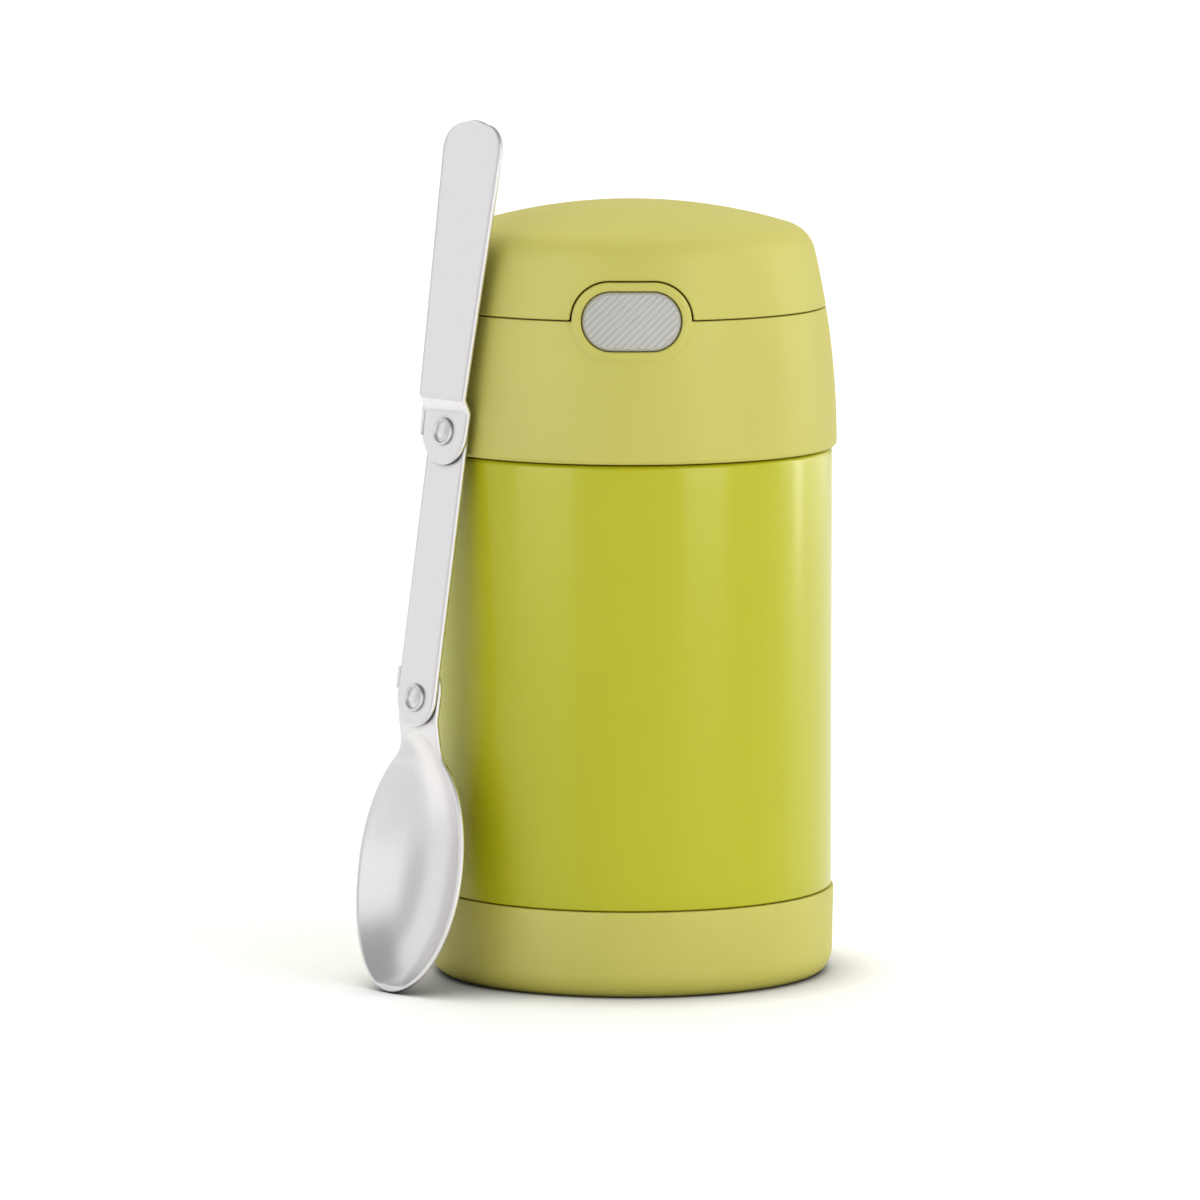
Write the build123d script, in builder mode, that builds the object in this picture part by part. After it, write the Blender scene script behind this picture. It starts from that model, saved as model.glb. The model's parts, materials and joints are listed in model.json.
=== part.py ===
from build123d import *
from math import cos, radians, sin, sqrt
import os

# Insulated food jar with a flip-top spoon compartment and a folding spoon.
# Units are millimetres. +Z is up, the origin is on the jar's axis at the floor,
# and the push button faces -Y. The hinge of the flip lid is at +Y.

os.makedirs("parts", exist_ok=True)

# ---------------------------------------------------------------- driving sizes
# shared gaps
seam = 0.3              # visible line between two moulded parts
running_gap = 0.3       # between parts that move past each other
fit_gap = 0.1           # between parts that are pushed or glued together
pin_clearance = 0.05    # radial, round a hinge pin or rivet
pin_press = 0.02        # radial, where the hinge pin is pressed in
cut_margin = 1.0        # that a cutting solid reaches past what it cuts

# steel body
body_radius = 44.5
steel_wall = 0.6
vacuum_gap = 2.8
liner_wall = 0.5
liner_floor_z = 10.0
liner_corner = 6.0
neck_step = 5.3         # from the body's side in to the neck
neck_gap = 0.8
mouth_length = 18.5
mouth_taper = 5.0
shell_step = 1.4        # from the body's side in to the part inside the boot
shoulder_z = 116.8
shoulder_corner = 1.2
neck_height = 14.7
lip_thickness = 0.5

# closing disc of the vacuum space
closure_rise = 1.2
closure_seal_radius = 4.0
closure_seal_height = 0.8
getter_radius = 6.0
getter_height = 1.6
getter_offset = 22.0

# base boot
boot_height = 19.1
boot_overhang = 0.55    # beyond the steel body
boot_draft = 0.25
boot_edge_width = 3.75
boot_edge_height = 5.4
boot_floor = 2.2
foot_width = 11.0
groove_width = 10.0
groove_depth = 0.8

# screw thread between neck and stopper, two starts
thread_lead = 8.0
thread_starts = 2
thread_depth = 1.4
thread_root_width = 1.7
thread_crest_width = 1.0
thread_bite = 0.25
thread_rise = 3.5       # from the shoulder to the start of the thread
neck_thread_turns = 0.95
skirt_thread_turns = 0.8

# stopper
stopper_wall = 1.6
stopper_play = 0.9
stopper_depth = 18.0
stopper_corner = 3.0
deck_thickness = 1.8
skirt_play = 1.8
skirt_rise = 1.4        # from the shoulder to the skirt
seal_width = 3.0
seal_thickness = 1.8

# lid outline: a barrel and a low dome joined by a round shoulder
collar_overhang = 1.02  # beyond the steel body, at the lid's widest place
barrel_widest_rise = 0.5
barrel_bow = 187.5
lid_height = 54.2
dome_bow = 121.3
lid_shoulder = 7.6
collar_edge = 1.0
collar_height = 30.9    # from the collar's lower edge to the lid's seam
collar_wall = 1.8

# spoon tray in the top of the screw lid
tray_wall = 1.2
tray_top = 1.2
bay_margin = 1.65       # between the tray's wall and the ends of the bay
bay_width = 36.0
bay_setback = 9.25      # behind the latch housing
bay_depth = 10.2

# flip lid
cover_wall = 1.6
dome_liner_wall = 1.2
catch_width = 10.0
catch_thickness = 1.4
catch_setback = 6.45    # behind the collar's inner wall
catch_drop = 2.2        # below the lid's seam
barb_reach = 1.2
barb_height = 1.6

# push button and its bezel
bezel_width = 26.1
bezel_height = 16.7
bezel_proud = 0.55
button_width = 21.5
button_height = 12.6
button_gap = 0.25
button_proud = 0.35
button_travel = 2.0
button_flange = 1.3
button_flange_thickness = 1.2
rib_pitch = 1.2
rib_width = 0.6
rib_depth = 0.4
rib_angle = 44.0
rib_margin = 0.5
bezel_play = 0.35       # between the bezel and the notch in the flip lid

# latch behind the button
latch_arm = 1.5
latch_height = 6.4
latch_plate = 1.2
latch_bar = 2.0
tooth_height = 1.5
tooth_gap = 0.35
housing_wall = 1.2
housing_play = 0.4
button_spring_length = 5.0
button_spring_radius = 2.0
button_spring_wire = 0.25
button_spring_coils = 4
spring_post_radius = 1.4
spring_post_length = 1.4

# hinge of the flip lid
hinge_inset = 0.65
knuckle_radius = 2.6
pin_radius = 1.0
spring_half = 4.0       # half the gap between the two lid knuckles
lid_knuckle_length = 4.0
collar_knuckle_length = 4.6
hinge_spring_radius = 1.75
hinge_spring_wire = 0.3
hinge_spring_coils = 7

# folding spoon
sheet = 1.1
sheet_gap = 0.05
rivet_pitch = 58.5
link_width = 12.6
neck_width = 12.8
handle_root_width = 14.6
handle_top_width = 20.1
handle_length = 68.2
handle_corner = 5.8
handle_crown = 0.9
joggle_start = 4.8
joggle_run = 2.7
joggle_rise = 2.0
bowl_length = 54.4
bowl_width = 34.8
bowl_depth = 8.2
neck_length = 10.4      # lower rivet to the bowl's rim
bowl_drop = 2.85        # from the neck's face to the rim
neck_bend_length = 5.4
neck_lap = 0.3          # of the neck's face over the bowl's rim
neck_top = 6.5
neck_corner = 3.0
neck_flare = 3.2
neck_shoulder = 1.9     # that each side of the neck widens into the bowl
stop_thickness = 0.6
stop_play = 0.1
link_stop_low = 1.4
link_stop_high = 5.2
neck_stop_low = 1.4
neck_stop_high = 6.3
rivet_shank = 1.6
rivet_head = 3.0
rivet_rise = 0.7
rivet_dimple = 2.3
rivet_dimple_depth = 0.4
rivet_dimple_taper = 40.0
rivet_edge = 0.56
rivet_back_rise = 0.5
rivet_back_taper = 35.0

# where the spoon stands: it leans on the collar with its face turned away
spoon_facing = -139.2   # direction of the face, degrees from +X
spoon_lean = 8.6
spoon_roll = -0.8
spoon_side = -6.3
spoon_gap = 0.35


# ---------------------------------------------------------------- shared outlines
collar_low_z = shoulder_z + seam
lid_seam_z = collar_low_z + collar_height
lid_top_z = collar_low_z + lid_height
barrel_radius = body_radius + collar_overhang
barrel_widest_z = collar_low_z + barrel_widest_rise
barrel_centre = (barrel_radius - barrel_bow, barrel_widest_z)
dome_centre = (0, lid_top_z - dome_bow)


def barrel_point(inset, z):
    """Point of the lid's side at height z, moved inwards by inset."""
    bow = barrel_bow - inset
    rise = z - barrel_widest_z
    return (barrel_centre[0] + sqrt(bow**2 - rise**2), z)


def barrel_side(inset, low, high):
    """Three points of the lid's side, for an arc from low to high."""
    return [barrel_point(inset, z) for z in (low, (low + high) / 2, high)]


def dome_point(inset, radius):
    """Point of the lid's top at a distance from the axis."""
    return (radius, dome_centre[1] + sqrt((dome_bow - inset) ** 2 - radius**2))


def lid_corner(inset):
    """Sharp corner where the side would meet the top, found on both circles."""
    low, high = 0.0, barrel_radius
    while high - low > 1e-9:
        middle = (low + high) / 2
        z = dome_point(inset, middle)[1]
        if barrel_point(inset, z)[0] > middle:
            low = middle
        else:
            high = middle
    return dome_point(inset, low)


def barrel_band(outer, inner, low, high):
    """Ring between two surfaces that follow the lid's side."""
    with BuildPart() as band:
        with BuildSketch(Plane.XZ):
            with BuildLine():
                ThreePointArc(*barrel_side(outer, low, high))
                Line(barrel_point(outer, high), barrel_point(inner, high))
                ThreePointArc(*barrel_side(inner, high, low))
                Line(barrel_point(inner, low), barrel_point(outer, low))
            make_face()
        revolve(axis=Axis.Z)
    return band.part


def lid_solid(inset, low):
    """Solid inside the lid's outline above height low, moved inwards by inset."""
    corner = lid_corner(inset)
    top = dome_point(inset, 0)
    with BuildPart() as body:
        with BuildSketch(Plane.XZ):
            with BuildLine():
                Line((0, low), barrel_point(inset, low))
                ThreePointArc(*barrel_side(inset, low, corner[1]))
                ThreePointArc(corner, dome_point(inset, corner[0] / 2), top)
                Line(top, (0, low))
            make_face()
            fillet(vertices().sort_by_distance((*corner, 0))[0], lid_shoulder - inset)
        revolve(axis=Axis.Z)
    return body.part


def front_slot(width, height, z, near, far, turn=0.0):
    """Stadium-shaped bar along Y, from y = -near to y = -far."""
    with BuildPart() as bar:
        with BuildSketch(Plane.XZ.offset(near)):
            with Locations((0, z)):
                SlotOverall(width, height, rotation=turn)
        extrude(amount=far - near)
    return bar.part


def cross_cylinder(radius, low_x, high_x, y, z):
    """Cylinder along X between two places."""
    with BuildPart() as bar:
        with BuildSketch(Plane.YZ.offset(low_x)):
            with Locations((y, z)):
                Circle(radius)
        extrude(amount=high_x - low_x)
    return bar.part


def ring_profile(points):
    """Solid of revolution about Z from a closed outline of (radius, z) points."""
    with BuildPart() as ring:
        with BuildSketch(Plane.XZ):
            with BuildLine():
                Polyline(*points, close=True)
            make_face()
        revolve(axis=Axis.Z)
    return ring.part


def block(low, high):
    """Rectangular block between two corners."""
    size = [b - a for a, b in zip(low, high)]
    centre = [(a + b) / 2 for a, b in zip(low, high)]
    with BuildPart() as brick:
        with Locations(tuple(centre)):
            Box(*size)
    return brick.part


def thread_ridges(wall_radius, inwards, low_z, turns, first_angle):
    """Helical ridges on a round wall, one for each start of the thread."""
    side = -1 if inwards else 1
    root = wall_radius - side * thread_bite
    reach = thread_depth + thread_bite
    with BuildPart() as ridge:
        with BuildLine():
            path = Helix(thread_lead, turns * thread_lead, root, center=(0, 0, low_z))
        with BuildSketch(Plane(origin=path @ 0, x_dir=(side, 0, 0), z_dir=path % 0)):
            with BuildLine():
                Polyline(
                    (0, -thread_root_width / 2),
                    (reach, -thread_crest_width / 2),
                    (reach, thread_crest_width / 2),
                    (0, thread_root_width / 2),
                    close=True,
                )
            make_face()
        sweep(path=path, is_frenet=True)
    with BuildPart() as ridges:
        with PolarLocations(0, thread_starts, start_angle=first_angle):
            add(ridge.part)
    return ridges.part


def finish(piece, name):
    """Name a finished piece and write its file."""
    piece.part.label = name
    export_step(piece.part, f"parts/{name}.step")


# ---------------------------------------------------------------- steel body
shell_low_radius = body_radius - shell_step
shell_step_z = boot_height + seam
shell_low_z = boot_floor
rim_z = shoulder_z + neck_height
neck_radius = body_radius - neck_step
neck_top_z = rim_z - lip_thickness
neck_thread_z = shoulder_z + thread_rise
liner_radius = body_radius - steel_wall - vacuum_gap
mouth_radius = neck_radius - steel_wall - neck_gap - liner_wall
mouth_low_z = rim_z - mouth_length


def shell_points(inset, low, high):
    """Half outline of the outer shell, moved inwards by inset."""
    return [
        (0, low),
        (shell_low_radius - inset, low),
        (shell_low_radius - inset, shell_step_z + inset),
        (body_radius - inset, shell_step_z + inset),
        (body_radius - inset, shoulder_z - inset),
        (neck_radius - inset, shoulder_z - inset),
        (neck_radius - inset, high),
        (0, high),
    ]


neck_ridges = thread_ridges(neck_radius, False, neck_thread_z, neck_thread_turns, 0)

with BuildPart() as outer_shell:
    add(ring_profile(shell_points(0, shell_low_z, neck_top_z)))
    fillet(
        edges().filter_by(GeomType.CIRCLE).group_by(Axis.Z)[-3].sort_by(SortBy.RADIUS)[-1],
        shoulder_corner,
    )
    add(
        ring_profile(shell_points(steel_wall, shell_low_z - cut_margin, neck_top_z + cut_margin)),
        mode=Mode.SUBTRACT,
    )
    add(neck_ridges)
finish(outer_shell, "outer_shell")


def liner_points(inset, high):
    """Half outline of the inner liner, moved inwards by inset."""
    return [
        (0, liner_floor_z + inset),
        (liner_radius - inset, liner_floor_z + inset),
        (liner_radius - inset, mouth_low_z - mouth_taper),
        (mouth_radius + liner_wall - inset, mouth_low_z),
        (mouth_radius + liner_wall - inset, high),
        (0, high),
    ]


with BuildPart() as inner_liner:
    add(ring_profile(liner_points(0, rim_z)))
    fillet(edges().filter_by(GeomType.CIRCLE).sort_by(Axis.Z)[0], liner_corner)
    add(
        ring_profile(
            [
                (mouth_radius, neck_top_z),
                (neck_radius, neck_top_z),
                (neck_radius, rim_z),
                (mouth_radius, rim_z),
            ]
        )
    )
    with BuildPart(mode=Mode.PRIVATE) as hollow:
        add(ring_profile(liner_points(liner_wall, rim_z + cut_margin)))
        fillet(
            edges().filter_by(GeomType.CIRCLE).sort_by(Axis.Z)[0],
            liner_corner - liner_wall,
        )
    add(hollow.part, mode=Mode.SUBTRACT)
finish(inner_liner, "inner_liner")

# dished disc that closes the vacuum space, its flange down along the shell
closure_radius = shell_low_radius - steel_wall - fit_gap / 2
closure_z = boot_floor + closure_rise
with BuildPart() as shell_bottom:
    add(
        ring_profile(
            [
                (0, closure_z),
                (closure_radius - steel_wall, closure_z),
                (closure_radius - steel_wall, boot_floor),
                (closure_radius, boot_floor),
                (closure_radius, closure_z + steel_wall),
                (0, closure_z + steel_wall),
            ]
        )
    )
finish(shell_bottom, "shell_bottom")

# drop of sealant over the evacuation hole
with BuildPart() as vacuum_seal:
    with BuildSketch(Plane.XY.offset(closure_z)):
        Circle(closure_seal_radius)
    extrude(amount=-closure_seal_height)
    fillet(edges().filter_by(GeomType.CIRCLE).sort_by(Axis.Z)[0], closure_seal_height / 2)
finish(vacuum_seal, "vacuum_seal")

# gas-absorbing pellet in its cup, on the closing disc
with BuildPart() as getter:
    with BuildSketch(Plane.XY.offset(closure_z + steel_wall)):
        with Locations((getter_offset, 0)):
            Circle(getter_radius)
    extrude(amount=getter_height)
    chamfer(edges().filter_by(GeomType.CIRCLE).sort_by(Axis.Z)[-1], getter_height / 4)
finish(getter, "vacuum_getter")

boot_top_radius = body_radius + boot_overhang
boot_foot_radius = boot_top_radius - boot_draft
boot_edge_radius = boot_foot_radius - boot_edge_width
with BuildPart() as base_boot:
    with BuildSketch(Plane.XZ):
        with BuildLine():
            Line((0, 0), (boot_edge_radius, 0))
            EllipticalCenterArc(
                (boot_edge_radius, boot_edge_height),
                boot_edge_width,
                boot_edge_height,
                start_angle=-90,
                arc_size=90,
            )
            Line((boot_foot_radius, boot_edge_height), (boot_top_radius, boot_height))
            Line((boot_top_radius, boot_height), (0, boot_height))
            Line((0, boot_height), (0, 0))
        make_face()
    revolve(axis=Axis.Z)
    with BuildSketch(Plane.XY.offset(boot_floor)):
        Circle(shell_low_radius + fit_gap)
    extrude(amount=boot_height, mode=Mode.SUBTRACT)
    with BuildSketch(Plane.XY):
        Circle(boot_edge_radius - foot_width)
        Circle(boot_edge_radius - foot_width - groove_width, mode=Mode.SUBTRACT)
    extrude(amount=groove_depth, mode=Mode.SUBTRACT)
finish(base_boot, "base_boot")

# ---------------------------------------------------------------- screw lid
deck_low_z = rim_z + fit_gap + seal_thickness + fit_gap
deck_top_z = deck_low_z + deck_thickness
plug_radius = mouth_radius - stopper_play
plug_low_z = rim_z - stopper_depth
skirt_low_z = shoulder_z + skirt_rise
skirt_inner_radius = neck_radius + skirt_play
skirt_outer_radius = skirt_inner_radius + stopper_wall

with BuildPart() as lid_seal:
    add(
        ring_profile(
            [
                (plug_radius + fit_gap, rim_z + fit_gap),
                (plug_radius + fit_gap + seal_width, rim_z + fit_gap),
                (plug_radius + fit_gap + seal_width, deck_low_z - fit_gap),
                (plug_radius + fit_gap, deck_low_z - fit_gap),
            ]
        )
    )
    fillet(edges().filter_by(GeomType.CIRCLE), seal_thickness / 4)
finish(lid_seal, "lid_seal")

# the lid's ridges lie half way between the neck's ridges
skirt_ridges = thread_ridges(
    skirt_inner_radius, True, neck_thread_z, skirt_thread_turns, 180 / thread_starts
)

with BuildPart() as stopper:
    add(
        ring_profile(
            [
                (0, plug_low_z),
                (plug_radius, plug_low_z),
                (plug_radius, deck_low_z),
                (skirt_inner_radius, deck_low_z),
                (skirt_inner_radius, skirt_low_z),
                (skirt_outer_radius, skirt_low_z),
                (skirt_outer_radius, deck_top_z),
                (plug_radius - stopper_wall, deck_top_z),
                (plug_radius - stopper_wall, plug_low_z + stopper_wall),
                (0, plug_low_z + stopper_wall),
            ]
        )
    )
    fillet(edges().filter_by(GeomType.CIRCLE).sort_by(Axis.Z)[0], stopper_corner)
    add(skirt_ridges)
finish(stopper, "stopper")

with BuildPart() as stopper_foam:
    with BuildSketch(Plane.XY.offset(plug_low_z + stopper_wall)):
        Circle(plug_radius - stopper_wall - fit_gap)
    extrude(amount=deck_top_z - plug_low_z - stopper_wall - seam)
    chamfer(edges().filter_by(GeomType.CIRCLE).sort_by(Axis.Z)[0], stopper_corner / 2)
finish(stopper_foam, "stopper_foam")

# places shared by the hinge, the tray and the flip lid
collar_top_z = lid_seam_z - seam / 2
flip_low_z = lid_seam_z + seam / 2
hinge_y = barrel_point(hinge_inset, lid_seam_z)[0]
hinge_z = lid_seam_z
lid_knuckle_x = spring_half + lid_knuckle_length
collar_knuckle_x = lid_knuckle_x + running_gap
hinge_half = collar_knuckle_x + collar_knuckle_length
hinge_room = knuckle_radius + running_gap
button_z = lid_seam_z
wall_y = barrel_point(collar_wall, lid_seam_z)[0]

# places shared by the button, the latch and the catch
catch_y = catch_setback - wall_y
catch_low_z = lid_seam_z - catch_drop
latch_half_x = catch_width / 2 + button_travel / 2 + latch_arm
latch_front_y = catch_y - running_gap - button_travel - latch_plate
barb_back_y = catch_y + catch_thickness + barb_reach
tooth_y = barb_back_y + tooth_gap
bar_y = tooth_y + catch_thickness
spring_y = bar_y + latch_bar
housing_front_y = latch_front_y + button_travel + 2 * running_gap
housing_back_y = spring_y + button_spring_length
housing_half_x = latch_half_x + housing_play + housing_wall
latch_low_z = button_z - latch_height / 2
latch_high_z = button_z + latch_height / 2
housing_low_z = latch_low_z - housing_play - housing_wall
housing_high_z = latch_high_z + housing_play + housing_wall
barb_top_z = catch_low_z + barb_height

front_reach = barrel_radius + bezel_proud + cut_margin
bezel_prism = front_slot(bezel_width, bezel_height, button_z, wall_y / 2, front_reach)
bezel_high_z = button_z + bezel_height / 2 + cut_margin
bezel_shell = barrel_band(-bezel_proud, collar_wall, collar_low_z, bezel_high_z)

with BuildPart() as bezel:
    add(bezel_prism)
    add(bezel_shell, mode=Mode.INTERSECT)

with BuildPart() as lid_collar:
    add(barrel_band(0, collar_wall, collar_low_z, collar_top_z))
    fillet(
        edges().filter_by(GeomType.CIRCLE).group_by(Axis.Z)[0].sort_by(SortBy.RADIUS)[-1],
        collar_edge,
    )
    for side in (-1, 1):
        near = side * collar_knuckle_x
        far = side * hinge_half
        add(cross_cylinder(knuckle_radius, min(near, far), max(near, far), hinge_y, hinge_z))
    add(
        cross_cylinder(hinge_room, -collar_knuckle_x, collar_knuckle_x, hinge_y, hinge_z),
        mode=Mode.SUBTRACT,
    )
    add(
        cross_cylinder(pin_radius + pin_press, -hinge_half, hinge_half, hinge_y, hinge_z),
        mode=Mode.SUBTRACT,
    )
    add(bezel.part)
    add(
        front_slot(
            button_width + 2 * button_gap,
            button_height + 2 * button_gap,
            button_z,
            wall_y / 2,
            front_reach,
        ),
        mode=Mode.SUBTRACT,
    )
finish(lid_collar, "lid_collar")

# drum that holds the folded spoon and closes the stopper
tray_radius = barrel_point(collar_wall + fit_gap, collar_top_z)[0]
bay_floor_z = collar_top_z - bay_depth
bay_length = 2 * (tray_radius - tray_wall - bay_margin)
bay_centre_y = housing_back_y + housing_wall + bay_setback + bay_width / 2
with BuildPart() as spoon_tray:
    add(
        ring_profile(
            [
                (0, collar_top_z),
                (tray_radius, collar_top_z),
                (tray_radius, deck_top_z),
                (tray_radius - tray_wall, deck_top_z),
                (tray_radius - tray_wall, collar_top_z - tray_top),
                (0, collar_top_z - tray_top),
            ]
        )
    )
    with BuildSketch(Plane.XY.offset(bay_floor_z - tray_wall)):
        with Locations((0, bay_centre_y)):
            SlotOverall(bay_length + 2 * tray_wall, bay_width + 2 * tray_wall)
    extrude(amount=bay_depth)
    with BuildSketch(Plane.XY.offset(bay_floor_z)):
        with Locations((0, bay_centre_y)):
            SlotOverall(bay_length, bay_width)
    extrude(amount=bay_depth + cut_margin, mode=Mode.SUBTRACT)
    add(
        block(
            (-housing_half_x - fit_gap, housing_front_y - fit_gap, housing_low_z - fit_gap),
            (housing_half_x + fit_gap, housing_back_y + housing_wall + fit_gap, bezel_high_z),
        ),
        mode=Mode.SUBTRACT,
    )
    add(
        front_slot(bezel_width, bezel_height, button_z, -housing_front_y, front_reach),
        mode=Mode.SUBTRACT,
    )
    add(
        cross_cylinder(hinge_room, -hinge_half - seam, hinge_half + seam, hinge_y, hinge_z),
        mode=Mode.SUBTRACT,
    )
finish(spoon_tray, "spoon_tray")

# ---------------------------------------------------------------- button and latch
button_back_y = -latch_front_y
with BuildPart() as push_button:
    add(front_slot(button_width, button_height, button_z, button_back_y, front_reach))
    add(
        barrel_band(
            rib_depth - button_proud, barrel_radius / 2, collar_low_z, bezel_high_z
        ),
        mode=Mode.INTERSECT,
    )
    with BuildPart(mode=Mode.PRIVATE) as flange:
        add(
            front_slot(
                button_width + 2 * button_flange,
                button_height + 2 * button_flange,
                button_z,
                wall_y / 2,
                front_reach,
            )
        )
        add(
            barrel_band(
                collar_wall + fit_gap,
                collar_wall + fit_gap + button_flange_thickness,
                collar_low_z,
                bezel_high_z,
            ),
            mode=Mode.INTERSECT,
        )
    add(flange.part)
    with BuildPart(mode=Mode.PRIVATE) as ribs:
        rib_count = int((button_width + button_height) * sin(radians(rib_angle)) / rib_pitch)
        offsets = [(i - (rib_count - 1) / 2) * rib_pitch for i in range(rib_count)]
        with BuildSketch(Plane.XZ.offset(button_back_y)):
            for step in offsets:
                across = radians(rib_angle + 90)
                with Locations((step * cos(across), button_z + step * sin(across))):
                    Rectangle(2 * button_width, rib_width, rotation=rib_angle)
            with Locations((0, button_z)):
                SlotOverall(
                    button_width - 2 * rib_margin,
                    button_height - 2 * rib_margin,
                    mode=Mode.INTERSECT,
                )
        extrude(amount=front_reach - button_back_y)
        add(
            barrel_band(-button_proud, rib_depth, collar_low_z, bezel_high_z),
            mode=Mode.INTERSECT,
        )
    add(ribs.part)
finish(push_button, "push_button")

# frame round the catch: front plate on the button, two arms and a toothed rear bar
with BuildPart() as latch_slider:
    add(block((-latch_half_x, latch_front_y, latch_low_z), (latch_half_x, spring_y, latch_high_z)))
    add(
        block(
            (latch_arm - latch_half_x, latch_front_y + latch_plate, latch_low_z - cut_margin),
            (latch_half_x - latch_arm, bar_y, latch_high_z + cut_margin),
        ),
        mode=Mode.SUBTRACT,
    )
    tooth_low_z = barb_top_z + running_gap
    add(
        block(
            (-catch_width / 2, tooth_y, tooth_low_z),
            (catch_width / 2, bar_y, tooth_low_z + tooth_height),
        )
    )
    with BuildSketch(Plane.XZ.offset(-spring_y)):
        with Locations((0, button_z)):
            Circle(spring_post_radius)
    extrude(amount=-spring_post_length)
finish(latch_slider, "latch_slider")


def coil(radius, wire, coils, length):
    """Round wire wound about Z, from z = 0 to z = length."""
    pitch = (length - 2 * wire) / coils
    with BuildPart() as winding:
        with BuildLine():
            path = Helix(pitch, pitch * coils, radius, center=(0, 0, wire))
        with BuildSketch(Plane(origin=path @ 0, z_dir=path % 0)):
            Circle(wire)
        sweep(path=path, is_frenet=True)
    return winding.part


with BuildPart() as button_spring:
    winding = coil(
        button_spring_radius, button_spring_wire, button_spring_coils, button_spring_length
    )
    add(winding.moved(Location((0, spring_y, button_z), (-90, 0, 0))))
finish(button_spring, "button_spring")

# box that guides the latch and backs its spring, snapped to the collar
with BuildPart() as latch_housing:
    add(
        block(
            (-housing_half_x, housing_front_y, housing_low_z),
            (housing_half_x, housing_back_y + housing_wall, housing_high_z),
        )
    )
    add(
        block(
            (
                housing_wall - housing_half_x,
                housing_front_y - cut_margin,
                housing_low_z + housing_wall,
            ),
            (
                housing_half_x - housing_wall,
                housing_back_y,
                housing_high_z - housing_wall,
            ),
        ),
        mode=Mode.SUBTRACT,
    )
    add(
        block(
            (
                -catch_width / 2 - housing_play,
                housing_front_y - cut_margin,
                housing_high_z - 2 * housing_wall,
            ),
            (
                catch_width / 2 + housing_play,
                barb_back_y + catch_thickness,
                housing_high_z + cut_margin,
            ),
        ),
        mode=Mode.SUBTRACT,
    )
finish(latch_housing, "latch_housing")

# ---------------------------------------------------------------- hinge
with BuildPart() as hinge_pin:
    add(cross_cylinder(pin_radius, -hinge_half + seam, hinge_half - seam, hinge_y, hinge_z))
    chamfer(edges().filter_by(GeomType.CIRCLE), pin_radius / 5)
finish(hinge_pin, "hinge_pin")

hinge_spring_length = 2 * (spring_half - running_gap)
with BuildPart() as hinge_spring:
    winding = coil(
        hinge_spring_radius, hinge_spring_wire, hinge_spring_coils, hinge_spring_length
    )
    add(winding.moved(Location((-hinge_spring_length / 2, hinge_y, hinge_z), (0, 90, 0))))
finish(hinge_spring, "hinge_spring")

# ---------------------------------------------------------------- flip lid
notch_width = bezel_width + 2 * bezel_play
notch_height = bezel_height + 2 * bezel_play
notch = front_slot(notch_width, notch_height, button_z, wall_y / 2, front_reach)

with BuildPart() as flip_cover:
    add(lid_solid(0, flip_low_z))
    add(lid_solid(cover_wall, flip_low_z - cut_margin), mode=Mode.SUBTRACT)
    for side in (-1, 1):
        near = side * spring_half
        far = side * lid_knuckle_x
        add(cross_cylinder(knuckle_radius, min(near, far), max(near, far), hinge_y, hinge_z))
    for low_x, high_x in (
        (-hinge_half - running_gap, -lid_knuckle_x),
        (-spring_half, spring_half),
        (lid_knuckle_x, hinge_half + running_gap),
    ):
        add(cross_cylinder(hinge_room, low_x, high_x, hinge_y, hinge_z), mode=Mode.SUBTRACT)
    add(
        cross_cylinder(
            pin_radius + pin_clearance, -hinge_half, hinge_half, hinge_y, hinge_z
        ),
        mode=Mode.SUBTRACT,
    )
    add(notch, mode=Mode.SUBTRACT)
finish(flip_cover, "flip_cover")

liner_inset = cover_wall + fit_gap
catch_root_z = dome_point(liner_inset + dome_liner_wall / 2, -catch_y)[1]
with BuildPart() as flip_liner:
    add(lid_solid(liner_inset, flip_low_z))
    add(lid_solid(liner_inset + dome_liner_wall, flip_low_z - cut_margin), mode=Mode.SUBTRACT)
    add(
        cross_cylinder(
            knuckle_radius + 2 * running_gap,
            -hinge_half - running_gap,
            hinge_half + running_gap,
            hinge_y,
            hinge_z,
        ),
        mode=Mode.SUBTRACT,
    )
    add(notch, mode=Mode.SUBTRACT)
    with BuildPart(mode=Mode.PRIVATE) as catch:
        add(
            block(
                (-catch_width / 2, catch_y, catch_low_z),
                (catch_width / 2, catch_y + catch_thickness, lid_top_z),
            )
        )
        with BuildSketch(Plane.YZ.offset(-catch_width / 2)):
            with BuildLine():
                Polyline(
                    (catch_y + catch_thickness, catch_low_z),
                    (barb_back_y, barb_top_z - barb_height / 4),
                    (barb_back_y, barb_top_z),
                    (catch_y + catch_thickness, barb_top_z),
                    close=True,
                )
            make_face()
        extrude(amount=catch_width)
        add(lid_solid(liner_inset + dome_liner_wall / 2, catch_low_z), mode=Mode.INTERSECT)
    add(catch.part)
finish(flip_liner, "flip_liner")

# ---------------------------------------------------------------- folding spoon
# The spoon's own plane has x across the spoon, y up its length and z out of its
# face, with its origin at the lower rivet on the front of the middle link.
facing = Vector(cos(radians(spoon_facing)), sin(radians(spoon_facing)), 0)
across = Vector(-facing.Y, facing.X, 0)
lean = radians(spoon_lean)
roll = radians(spoon_roll)
face_normal = facing * cos(lean) + Vector(0, 0, 1) * sin(lean)
up_slope = Vector(0, 0, 1) * cos(lean) - facing * sin(lean)
spoon_x = across * cos(roll) + up_slope * sin(roll)
spoon_y = up_slope * cos(roll) - across * sin(roll)

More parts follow.
